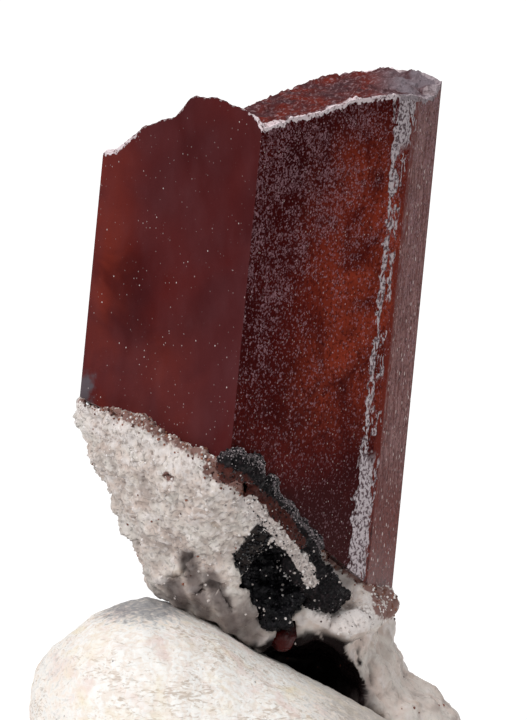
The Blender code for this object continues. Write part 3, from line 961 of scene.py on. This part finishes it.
def grow_grains(
    piece: bpy.types.Object, size: float, depth: float, rule: Callable[[Vector], float]
) -> None:
    """Raises crystal grains on a piece's skin, and notes their relief and tone for its finish.

    Args:
        piece: The piece, with faces smaller than the grains.
        size: The grains' size in millimetres.
        depth: How far the grains stand up, in millimetres.
        rule: The share of the grains' height, by place.
    """
    reliefs, tones, shares, places = [], [], [], []
    for vertex in piece.data.vertices:
        cell_place = vertex.co / (size * MM)
        distances, centres = noise.voronoi(cell_place)
        rise = min(1.0, 1.5 * (distances[1] - distances[0]))
        small = noise.fractal(cell_place * 2.3, 1.0, 2.0, 2)
        share = rule(vertex.co)
        lift = share * (rise - 0.45 + 0.35 * small)
        places.extend(vertex.co + vertex.normal * lift * depth * MM)
        reliefs.append(rise)
        tones.append(0.5 + 0.5 * noise.cell(centres[0] * 7.3))
        shares.append(share)
    note(piece, "relief", reliefs)
    note(piece, "tone", tones)
    note(piece, "grainy", shares)
    reshape(piece, places)


def weigh(piece: bpy.types.Object, group: str, rule: Callable[[Vector], float]) -> None:
    """Fills a vertex group by a rule of each vertex's place.

    Args:
        piece: The piece.
        group: The vertex group's name.
        rule: Gives a vertex's weight from its place.
    """
    made = piece.vertex_groups.new(name=group)
    for vertex in piece.data.vertices:
        made.add([vertex.index], rule(vertex.co), "REPLACE")


def grain_shape(name: str, seed: int, stretch: float) -> bpy.types.Object:
    """Models one loose grain as a small, irregular crystal with flat faces.

    Args:
        name: The grain's name.
        seed: The seed of its irregularity.
        stretch: Its length as a share of its width.

    Returns:
        The grain, about one unit across.
    """
    deselect()
    bpy.ops.mesh.primitive_ico_sphere_add(subdivisions=1, radius=0.5)
    grain = bpy.context.active_object
    grain.name = name
    bpy.ops.object.mode_set(mode="EDIT")
    bpy.ops.transform.vertex_random(offset=0.16, seed=seed)
    bpy.ops.transform.resize(value=(1.0, 0.85, stretch))
    bpy.ops.object.mode_set(mode="OBJECT")
    return grain


def scatter(
    host: bpy.types.Object,
    grain: bpy.types.Object,
    name: str,
    rule: "Rule | float",
    sizes: tuple[float, float],
    seed: int,
    finish: GrainFinish,
) -> bpy.types.Object:
    """Spreads loose grains over a piece and joins them into one mesh.

    Args:
        host: The piece that carries the grains.
        grain: The grain to repeat.
        name: The new piece's name.
        rule: The number of grains to a square millimetre, or its rule by place and normal.
        sizes: The smallest and the largest grain in millimetres.
        seed: The seed of the pattern.
        finish: The grains' finish.

    Returns:
        The joined grains, which ride on the body.
    """
    piece = bpy.data.objects.new(name, host.data.copy())
    bpy.context.scene.collection.objects.link(piece)
    density = piece.data.attributes.new("density", "FLOAT", "POINT")
    even = isinstance(rule, float)
    counts = [rule if even else rule(v.co, v.normal) for v in piece.data.vertices]
    density.data.foreach_set("value", [count / MM**2 for count in counts])
    group = bpy.data.node_groups.new(name, "GeometryNodeTree")
    for side in ("INPUT", "OUTPUT"):
        group.interface.new_socket("Geometry", in_out=side, socket_type="NodeSocketGeometry")
    start = add_node(group, "NodeGroupInput", {})
    crowd = add_node(group, "GeometryNodeInputNamedAttribute", {"Name": "density"})
    feeds = {"Mesh": start.outputs[0], "Density": crowd.outputs["Attribute"], "Seed": seed}
    spread = add_node(group, "GeometryNodeDistributePointsOnFaces", feeds)
    shape = add_node(group, "GeometryNodeObjectInfo", {"Object": grain})
    random = "FunctionNodeRandomValue"
    feeds = {"Max": (2 * math.pi,) * 3, "Seed": seed + 1}
    turn = add_node(group, random, feeds, data_type="FLOAT_VECTOR")
    feeds = {2: sizes[0] * MM, 3: sizes[1] * MM, "Seed": seed + 2}
    size = add_node(group, random, feeds)
    feeds = {
        "Points": spread.outputs["Points"],
        "Instance": shape.outputs["Geometry"],
        "Rotation": turn.outputs[0],
        "Scale": size.outputs[1],
    }
    place = add_node(group, "GeometryNodeInstanceOnPoints", feeds)
    tint = add_node(group, random, {"Seed": seed + 3})
    feeds = {"Geometry": place.outputs[0], "Name": "tint", "Value": tint.outputs[1]}
    store = add_node(group, "GeometryNodeStoreNamedAttribute", feeds, domain="INSTANCE")
    real = add_node(group, "GeometryNodeRealizeInstances", {0: store.outputs[0]})
    feeds = {"Geometry": real.outputs[0], "Material": finish.build()}
    dress = add_node(group, "GeometryNodeSetMaterial", feeds)
    add_node(group, "NodeGroupOutput", {0: dress.outputs[0]})
    modifier = piece.modifiers.new("scatter", "NODES")
    modifier.node_group = group
    apply_all(piece)
    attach(piece, "root")
    return piece


@dataclass
class TopazPrism:
    """The large crystal: flat sides, a chipped and frosted rim, and a sugary broken top."""

    rim_bites: float = 0.22
    top_cuts: int = 5
    top_depth: float = 0.5
    lumps: float = 1.1
    crumbs: float = 0.32

    def build(self) -> bpy.types.Object:
        """Models and dresses the crystal.

        Returns:
            The crystal.
        """
        piece = copy_of("topaz_crystal", "topaz_prism")
        self.refine_top(piece)
        self.map_rim(piece)
        piece.data.materials.append(TopazFinish().build())
        return piece

    def refine_top(self, piece: bpy.types.Object) -> None:
        """Cuts the broken top into small faces and roughens them, with bites along the rim.

        Args:
            piece: The crystal.
        """
        take_up(piece)
        bpy.ops.object.mode_set(mode="EDIT")
        bpy.ops.mesh.select_mode(type="FACE")
        bpy.ops.mesh.select_all(action="DESELECT")
        bm = bmesh.from_edit_mesh(piece.data)
        bm.normal_update()
        for face in bm.faces:
            face.select = self.on_top(face)
        bmesh.update_edit_mesh(piece.data)
        bpy.ops.mesh.subdivide(number_cuts=self.top_cuts, smoothness=0.0)
        bm = bmesh.from_edit_mesh(piece.data)
        along = Vector((LEAN, 0.0, 1.0))
        for vert in bm.verts:
            if not any(self.on_top(face) for face in vert.link_faces):
                continue
            at_rim = any(not self.on_top(face) for face in vert.link_faces)
            place = vert.co / MM
            coarse = noise.fractal(place / self.lumps, 1.0, 2.0, 4)
            fine = noise.fractal(place / self.crumbs + Vector((5.0, 3.0, 1.0)), 1.0, 2.0, 2)
            if at_rim:
                lift = self.rim_bites * min(0.0, coarse) + 0.4 * self.rim_bites * min(0.0, fine)
            else:
                lift = self.top_depth * (0.6 * coarse + 0.35 * fine) - 0.15 * self.top_depth
            vert.co += along * lift * MM
        bmesh.update_edit_mesh(piece.data)
        bpy.ops.object.mode_set(mode="OBJECT")

    @staticmethod
    def on_top(face: bmesh.types.BMFace) -> bool:
        """Tells whether a face belongs to the broken top."""
        return face.normal.z > 0.25 and face.calc_center_median().z > 50 * MM

    def map_rim(self, piece: bpy.types.Object) -> None:
        """Writes the UV map "rim": V is the depth under the rim in millimetres.

        Args:
            piece: The crystal.
        """
        bm = bmesh.new()
        bm.from_mesh(piece.data)
        rim = [
            vert.co.copy()
            for vert in bm.verts
            if {self.on_top(face) for face in vert.link_faces} == {True, False}
        ]
        tree = kdtree.KDTree(len(rim))
        for index, place in enumerate(rim):
            tree.insert(place, index)
        tree.balance()
        layer = bm.loops.layers.uv.new("rim")
        for face in bm.faces:
            if self.on_top(face):
                for loop in face.loops:
                    away = tree.find(loop.vert.co)[2] / MM
                    loop[layer].uv = (0.0, -0.1 - away)
                continue
            high = max(loop.vert.co.z for loop in face.loops)
            low = min(loop.vert.co.z for loop in face.loops)
            for loop in face.loops:
                depth = (high - loop.vert.co.z) / MM
                near_rim = loop.vert.co.z > (high + low) / 2
                loop[layer].uv = (0.0, 0.0 if near_rim else depth)
        bm.to_mesh(piece.data)
        bm.free()


@dataclass
class RhyoliteMatrix:
    """The pale rock under the crystal, sugary at the seam and in soft lobes lower down."""

    voxel: float = 0.19
    swell: float = 0.12
    seam_lift: float = 0.75
    lobe_width: float = 2.6
    lobe_depth: float = 1.1
    groove_depth: float = 0.9
    pit_depth: float = 0.6
    ledge_swell: float = 1.0
    hollow: tuple = (2.84, -4.57, 12.8)
    hollow_half: tuple = (6.9, 10.9, 4.9)

    def build(self) -> list[bpy.types.Object]:
        """Models and dresses the rock with its loose grains.

        Returns:
            The rock, its quartz grains, the rusty grains along the seam and the black grains.
        """
        piece = copy_of("rhyolite_matrix", "rhyolite_rock")
        fine_skin(piece, self.voxel)
        weigh(piece, "sugary", lambda place: ease(place.z / MM, 16.0, 25.0))
        weigh(piece, "soft", lambda place: 1 - 0.75 * ease(place.z / MM, 16.0, 25.0))
        self.close_seam(piece)
        self.press_grooves(piece)
        roughen(piece, 2.2, 1.3, 0.5 - self.swell)
        roughen(piece, 0.7, 0.9, 0.48, "sugary")
        roughen(piece, 1.2, 0.35, 0.5, "soft")
        apply_all(piece)
        grow_grains(piece, 0.32, 0.16, self.grain_height)
        self.stand(piece)
        for rule in (self.murk, self.gloom, self.ridge, self.rust, self.soot):
            mark(piece, rule.__name__, rule)
        piece.data.materials.append(RockFinish().build())
        grain = grain_shape("quartz_grain", 3, 1.2)
        grains = [
            scatter(piece, grain, *plan)
            for plan in (
                ("quartz_grains", self.quartz, (0.1, 0.3), 5, QUARTZ_GRAINS),
                ("rusty_grains", self.rusty, (0.1, 0.3), 9, RUSTY_GRAINS),
                ("sooty_grains", self.sooty, (0.1, 0.4), 13, BLACK_GRAINS),
            )
        ]
        bpy.data.objects.remove(grain)
        return [piece, *grains]

    def close_seam(self, piece: bpy.types.Object) -> None:
        """Lifts the rock's rim so that it meets the crystal, but for its left end.

        Args:
            piece: The rock.
        """
        for vertex in piece.data.vertices:
            near = ease(above_seat(vertex.co) / MM, -2.6, -0.7)
            near *= ease(vertex.co.x / MM, -14.2, -11.5)
            vertex.co.z += near * self.seam_lift * MM

    def press_grooves(self, piece: bpy.types.Object) -> None:
        """Presses lobes into the rock's lower part, and its grooves and pits.

        Args:
            piece: The rock.
        """
        places = []
        for vertex in piece.data.vertices:
            place, normal = vertex.co, vertex.normal
            upright = Vector((place.x, place.y, place.z * 0.25)) / (self.lobe_width * MM)
            low = 1 - ease(place.z / MM, 18.0, 25.0)
            push = self.lobe_depth * 0.5 * noise.noise(upright) * low
            if normal.y < 0.2:
                push += self.ledge_swell * near_line(place, LEDGE, 0.3, 1.4)
                groove = max(near_line(place, line, 0.0, 1.1) for line in GROOVES)
                pit = max(self.pit(place), 0.9 * self.soot(place, normal))
                push -= self.groove_depth * groove + self.pit_depth * pit
            if normal.z < -0.3:
                push = max(0.0, push)
            places.extend(place + normal * push * MM)
        reshape(piece, places)

    @staticmethod
    def stand(piece: bpy.types.Object) -> None:
        """Flattens whatever would reach below the ground."""
        for vertex in piece.data.vertices:
            vertex.co.z = max(0.0, vertex.co.z)

    @staticmethod
    def pit(place: Vector) -> float:
        """Gives the small brown pit."""
        return near_line(place, BROWN_PIT, 0.1, 0.45)

    @staticmethod
    def grain_height(place: Vector) -> float:
        """Gives the share of the grains' height: less on the lower part."""
        return 0.15 + 0.85 * ease(place.z / MM, 19.0, 26.0)

    def murk(self, place: Vector, normal: Vector) -> float:
        """Gives the painted shadow in the hollow under the rock: how deep in it a point lies, from
        0 to 1.

        Args:
            place: A point of the surface, in metres.
            normal: The surface's normal there.

        Returns:
            A share between 0 and 1.
        """
        away = Vector(self.hollow) - place / MM
        share = Vector(part / half for part, half in zip(away, self.hollow_half)).length
        inward = ease(away.normalized().dot(normal), -0.1, 0.25)
        return ease(1.0 - share, -0.04, 0.12) * inward

    def gloom(self, place: Vector, normal: Vector) -> float:
        """Gives the shade in the grooves, on the leg's inner side and under the rock.

        Args:
            place: A point of the surface, in metres.
            normal: The surface's normal there.

        Returns:
            A share between 0 and 1.
        """
        groove = max(near_line(place, line, 0.2, 1.4) for line in GROOVES)
        leg = near_line(place, INNER_LEG, 0.3, 2.3)
        front = ease(normal.y, 0.2, -0.2)
        foot = 0.85 * ease(place.z / MM - 0.45 * place.x / MM, 24.0, 19.5)
        foot *= ease(place.x / MM, 1.5, -1.0)
        return max(groove * front, leg * front, foot * front, 0.7 * ease(-normal.z, 0.5, 0.95))

    @staticmethod
    def ridge(place: Vector, normal: Vector) -> float:
        """Gives the clean white sugar along the seam and the ridge.

        Args:
            place: A point of the surface, in metres.
            normal: The surface's normal there.

        Returns:
            A share between 0 and 1.
        """
        seam = 0.6 * ease(above_seat(place) / MM, -4.5, -1.2)
        line = max(near_line(place, WHITE_RIDGE, 0.5, 1.2), near_line(place, LEDGE, 0.7, 1.4))
        return max(seam, line) * facing_front(normal)

    def rust(self, place: Vector, normal: Vector) -> float:
        """Gives the brown mineral: in the zone under the black band and in a pit.

        Args:
            place: A point of the surface, in metres.
            normal: The surface's normal there.

        Returns:
            A share between 0 and 1.
        """
        zone = near_line(place, RUSTY_ZONE, 0.4, 1.0)
        foot = near_line(place, RED_FOOT, 0.8, 1.6)
        seam = 0.8 * ease(above_seat(place) / MM, -0.9, -0.2)
        return max(zone, foot, seam, self.pit(place)) * facing_front(normal)

    @staticmethod
    def soot(place: Vector, normal: Vector) -> float:
        """Gives the black mineral beside the pocket."""
        return near_line(place, POCKET_SIDE, 0.55, 1.15) * facing_front(normal)

    def quartz(self, place: Vector, normal: Vector) -> float:
        """Gives the quartz grains to a square millimetre: most near the seam.

        Args:
            place: A point of the surface, in metres.
            normal: The surface's normal there.

        Returns:
            Their number to a square millimetre.
        """
        near = ease(above_seat(place) / MM, -8.0, -0.5)
        upper = ease(place.z / MM, 15.0, 22.0)
        ridge = max(near_line(place, WHITE_RIDGE, 0.4, 1.0), near_line(place, LEDGE, 0.5, 1.1))
        crowd = 0.3 + 1.4 * ease(noise.noise(place / (1.1 * MM)), -0.25, 0.35)
        crowd *= 1.0 - self.murk(place, normal)
        return crowd * (2.0 * near * upper + 0.4 * upper + 6.0 * ridge)

    @staticmethod
    def rusty(place: Vector, normal: Vector) -> float:
        """Gives the rusty grains to a square millimetre: in a band under the left face."""
        zone = near_line(place, RUSTY_ZONE, 0.5, 1.1)
        return 3.5 * ease(above_seat(place) / MM, -1.3, -0.3) + 4.0 * zone + 0.06

    def sooty(self, place: Vector, normal: Vector) -> float:
        """Gives the black grains to a square millimetre: beside the pocket."""
        return 14.0 * self.soot(place, normal)


@dataclass
class BlackCrust:
    """The black mineral on the crystal's foot and in the pocket."""

    voxel: float = 0.12
    band_shift: tuple = (-0.43, -0.55, -0.8)
    end_shift: tuple = (0.0, 0.0, -0.5)
    blob_end: float = 4.8
    blob_squeeze: float = 0.4
    flatness: float = 0.4
    blob_foot: float = 21.0
    blob_lift: float = 0.55
    crust_crowd: float = 3.5
    pocket_crowd: float = 3.0
    hole: tuple = (0.9, 22.6)
    hole_half: tuple = (2.6, 3.4)
    hole_back: float = -4.6
    hole_depth: float = 2.4

    def build(self) -> list[bpy.types.Object]:
        """Models and dresses the crust, the pocket's lining and their grains.

        Returns:
            The pieces.
        """
        crust = copy_of("black_mineral_crust", "crust_body")
        fine_skin(crust, self.voxel)
        self.settle(crust)
        worn = crust.modifiers.new("merged lumps", "SMOOTH")
        worn.factor = 0.6
        worn.iterations = 26
        roughen(crust, 1.1, 0.9, 0.4)
        roughen(crust, 0.45, 0.3, 0.4)
        apply_all(crust)
        grow_grains(crust, 0.24, 0.14, lambda place: 1.0)
        lining = copy_of("black_mineral_pocket", "pocket_body")
        fine_skin(lining, self.voxel)
        self.hollow_out(lining)
        roughen(lining, 1.1, 1.4, 0.42)
        roughen(lining, 0.45, 0.4, 0.4)
        apply_all(lining)
        grow_grains(lining, 0.26, 0.2, lambda place: 1.0)
        for body, finish in ((crust, MineralFinish()), (lining, POCKET_FINISH)):
            mark(body, "frost", lambda place, normal: near_line(place, BAND_TOP, 0.3, 0.9))
            mark(body, "rust", lambda place, normal: near_line(place, RUSTY_ZONE, 0.35, 1.1))
            mark(body, "ridge", self.pale)
            body.data.materials.append(finish.build())
        grain = grain_shape("black_grain", 11, 1.0)
        grains = [
            scatter(host, grain, *plan)
            for host, *plan in (
                (crust, "crust_grains", self.crust_crowd, (0.08, 0.26), 21, BLACK_GRAINS),
                (crust, "crust_frost", self.frost, (0.07, 0.18), 23, FROSTY_GRAINS),
                (crust, "crust_quartz", self.sugar, (0.1, 0.34), 29, QUARTZ_GRAINS),
                (lining, "pocket_grains", self.pocket_crowd, (0.1, 0.34), 27, BLACK_GRAINS),
                (lining, "pocket_quartz", self.bits, (0.1, 0.34), 31, QUARTZ_GRAINS),
            )
        ]
        bpy.data.objects.remove(grain)
        return [crust, lining, *grains]

    def settle(self, crust: bpy.types.Object) -> None:
        """Presses the band flat and slides it along the face to where the photo shows it.

        Args:
            crust: The band.
        """
        face = Vector((1.0, math.tan(RIGHT_FACE_HEADING), 0.0))
        right = Vector((math.sin(RIGHT_FACE_HEADING), -math.cos(RIGHT_FACE_HEADING), 0.0))
        left = Vector((math.sin(LEFT_FACE_HEADING), -math.cos(LEFT_FACE_HEADING), 0.0))
        places = []
        for vertex in crust.data.vertices:
            offset = (vertex.co - FRONT_EDGE) / MM
            offset.x -= LEAN * offset.z
            outward = max((right, left), key=lambda normal: normal.dot(offset))
            vertex.co -= outward * max(0.0, outward.dot(offset)) * self.flatness * MM
            share = ease(vertex.co.x / MM, -2.0, 1.0)
            shift = Vector(self.end_shift).lerp(Vector(self.band_shift), share)
            beyond = max(0.0, vertex.co.x / MM - self.blob_end)
            shift -= face * beyond * self.blob_squeeze
            shift.z += max(0.0, self.blob_foot - vertex.co.z / MM) * self.blob_lift
            places.extend(vertex.co + shift * MM)
        reshape(crust, places)

    def hollow_out(self, lining: bpy.types.Object) -> None:
        """Presses the middle of the lining's front inwards, so that the pocket reads as a hole.

        Args:
            lining: The pocket's lining.
        """
        for vertex in lining.data.vertices:
            across = (vertex.co.x / MM - self.hole[0]) / self.hole_half[0]
            rise = (vertex.co.z / MM - self.hole[1]) / self.hole_half[1]
            deep = max(0.0, 1.0 - across**2 - rise**2)
            if vertex.co.y / MM < self.hole_back:
                vertex.co.y += self.hole_depth * MM * deep

    @staticmethod
    def pale(place: Vector, normal: Vector) -> float:
        """Gives the pale mineral: the ridge beside the pocket, and the rim at the right end.

        Args:
            place: A point of the surface, in metres.
            normal: The surface's normal there; not used.

        Returns:
            A share between 0 and 1.
        """
        spot = seen_at(place)
        rim = ease(spot.x, 6.6, 7.2) * ease(spot.y, 21.4, 20.6)
        torn = 0.45 * noise.noise(place / (0.8 * MM))
        return max(rim, ease(near_line(place, WHITE_RIDGE, 0.1, 1.0) + torn, 0.25, 0.75))

    @staticmethod
    def frost(place: Vector, normal: Vector) -> float:
        """Gives the frosty grains to a square millimetre: most on the band's upper edge."""
        return 1.0 + 22.0 * near_line(place, BAND_TOP, 0.2, 0.9)

    def sugar(self, place: Vector, normal: Vector) -> float:
        """Gives the quartz grains to a square millimetre, with a few strays."""
        return 9.0 * self.pale(place, normal) + 0.15

    def bits(self, place: Vector, normal: Vector) -> float:
        """Gives the pocket's pale bits to a square millimetre: most at its upper left.

        Args:
            place: A point of the surface, in metres.
            normal: The surface's normal there.

        Returns:
            Their number to a square millimetre.
        """
        spot = seen_at(place)
        corner = ease(spot.y - 0.8 * spot.x, 16.5, 24.5)
        crowd = ease(noise.noise(place / (1.3 * MM)), -0.1, 0.5)
        return self.sugar(place, normal) + 5.0 * corner * crowd


@dataclass
class SmallTopaz:
    """The second crystal, small and dark red, under the pocket."""

    bevel: float = 0.12
    voxel: float = 0.08

    def build(self) -> bpy.types.Object:
        """Models and dresses the small crystal.

        Returns:
            The small crystal.
        """
        piece = copy_of("small_topaz", "small_prism")
        worn = piece.modifiers.new("worn edges", "BEVEL")
        worn.width = self.bevel * MM
        worn.segments = 2
        apply_all(piece)
        fine_skin(piece, self.voxel)
        roughen(piece, 0.6, 0.18)
        apply_all(piece)
        piece.data.materials.append(SmallTopazFinish().build())
        return piece


@dataclass
class SupportStone:
    """The rounded stone under the specimen."""

    voxel: float = 0.26

    def build(self) -> bpy.types.Object:
        """Models and dresses the stone.

        Returns:
            The stone.
        """
        piece = copy_of("support_stone", "cream_stone")
        fine_skin(piece, self.voxel)
        smooth = piece.modifiers.new("worn smooth", "SMOOTH")
        smooth.iterations = 6
        roughen(piece, 3.0, 0.4)
        roughen(piece, 0.6, 0.16)
        apply_all(piece)
        mark(piece, "grey", self.grey)
        mark(piece, "shade", self.shade)
        piece.data.materials.append(StoneFinish().build())
        return piece

    @staticmethod
    def grey(place: Vector, normal: Vector) -> float:
        """Gives the grey crust on the stone's upper left."""
        return 0.8 * ease(place.z / MM, 18.2, 19.8) * ease(place.x / MM, -3.0, -8.0)

    @staticmethod
    def shade(place: Vector, normal: Vector) -> float:
        """Gives the painted shadow on the stone's right end, and a little of the same darker
        colour at its left end.
        """
        across = seen_at(place).x
        return max(0.8 * ease(across, -1.0, 9.0), 0.3 * ease(across, -12.0, -17.0))


@dataclass
class Studio:
    """A pale floor, soft light and the camera at the photo's angle."""

    floor_radius: float = 0.12
    target: tuple = (-0.16 * MM, -1.57 * MM, 39.05 * MM)
    elevation: float = 8.0
    distance: float = 1.2
    frame_height: float = 57.6
    sensor: float = 36.0
    floor_glow: float = 0.25
    backdrop_strength: float = 1.1
    sun_from: tuple = (-0.45, -0.75, 0.95)
    sun_strength: float = 1.5
    sun_spread: float = 35.0
    sky: tuple = (
        ((0.0, 0.0, 1.0), -0.1, 1.0, 0.8),
        ((0.2, 1.0, 0.1), 0.3, 0.95, 0.3),
        ((-1.0, -0.35, 0.0), 0.2, 0.9, 0.3),
    )

    def build(self) -> None:
        """Sets up the floor, the world, the lights and the camera."""
        bpy.context.scene.view_settings.view_transform = "Standard"
        self.lay_floor()
        self.light_world()
        self.hang_sun()
        self.set_camera()

    def lay_floor(self) -> None:
        """Lays a plain white floor at the object's foot."""
        deselect()
        bpy.ops.mesh.primitive_circle_add(vertices=96, radius=self.floor_radius, fill_type="NGON")
        floor = bpy.context.active_object
        floor.name = "floor"
        s = Shader("floor white")
        feed(s.tree, s.surface.inputs["Emission Color"], WHITE)
        s.surface.inputs["Emission Strength"].default_value = self.floor_glow
        floor.data.materials.append(s.finish((0.9, 0.9, 0.9), 0.9, 0.0))

    def light_world(self) -> None:
        """Makes the backdrop white, and the light from it strongest above and behind."""
        world = bpy.data.worlds.new("studio")
        bpy.context.scene.world = world
        world.use_nodes = True
        tree = world.node_tree
        outward = add_node(tree, "ShaderNodeTexCoord", {}).outputs["Generated"]
        total: "Socket | float" = 0.0
        for direction, low, high, strength in self.sky:
            feeds = {0: outward, 1: Vector(direction).normalized()}
            facing = add_node(tree, "ShaderNodeVectorMath", feeds, operation=Sum.DOT.value)
            feeds = {"Value": facing.outputs["Value"], "From Min": low, "From Max": high}
            feeds["To Max"] = strength
            part = add_node(tree, "ShaderNodeMapRange", feeds, interpolation_type="SMOOTHSTEP")
            total = add_node(tree, "ShaderNodeMath", {0: total, 1: part.outputs[0]}).outputs[0]
        background = tree.nodes["Background"]
        feed(tree, background.inputs["Color"], WHITE)
        feed(tree, background.inputs["Strength"], total)
        backdrop = add_node(
            tree, "ShaderNodeBackground", {"Color": WHITE, "Strength": self.backdrop_strength}
        )
        seen = add_node(tree, "ShaderNodeLightPath", {}).outputs["Is Camera Ray"]
        feeds = {0: seen, 1: background.outputs[0], 2: backdrop.outputs[0]}
        either = add_node(tree, "ShaderNodeMixShader", feeds)
        feed(tree, tree.nodes["World Output"].inputs["Surface"], either.outputs[0])

    def hang_sun(self) -> None:
        """Hangs a soft, distant light at the upper left."""
        data = bpy.data.lights.new("key", "SUN")
        data.energy = self.sun_strength
        data.angle = math.radians(self.sun_spread)
        lamp = bpy.data.objects.new("key", data)
        bpy.context.scene.collection.objects.link(lamp)
        lamp.rotation_euler = (-Vector(self.sun_from)).to_track_quat("-Z", "Y").to_euler()

    def set_camera(self) -> None:
        """Sets the camera on the photo's line of sight."""
        data = bpy.data.cameras.new("camera")
        data.sensor_width = self.sensor
        data.lens = self.sensor * self.distance / (self.frame_height * MM)
        data.clip_end = 10.0
        camera = bpy.data.objects.new("camera", data)
        bpy.context.scene.collection.objects.link(camera)
        rise = math.radians(self.elevation)
        back = Vector((0.0, -math.cos(rise), math.sin(rise)))
        camera.location = Vector(self.target) + back * self.distance
        camera.rotation_euler = (-back).to_track_quat("-Z", "Y").to_euler()
        bpy.context.scene.camera = camera


def main() -> None:
    """Builds every piece in order and reports it."""
    logging.basicConfig(level=logging.INFO, format="%(message)s")
    deselect()
    pieces = [TopazPrism().build()]
    pieces += RhyoliteMatrix().build()
    pieces += BlackCrust().build()
    pieces.append(SmallTopaz().build())
    pieces.append(SupportStone().build())
    for piece in pieces:
        log.info("%s: %d faces", piece.name, len(piece.data.polygons))
    Studio().build()


if __name__ == "__main__":
    main()
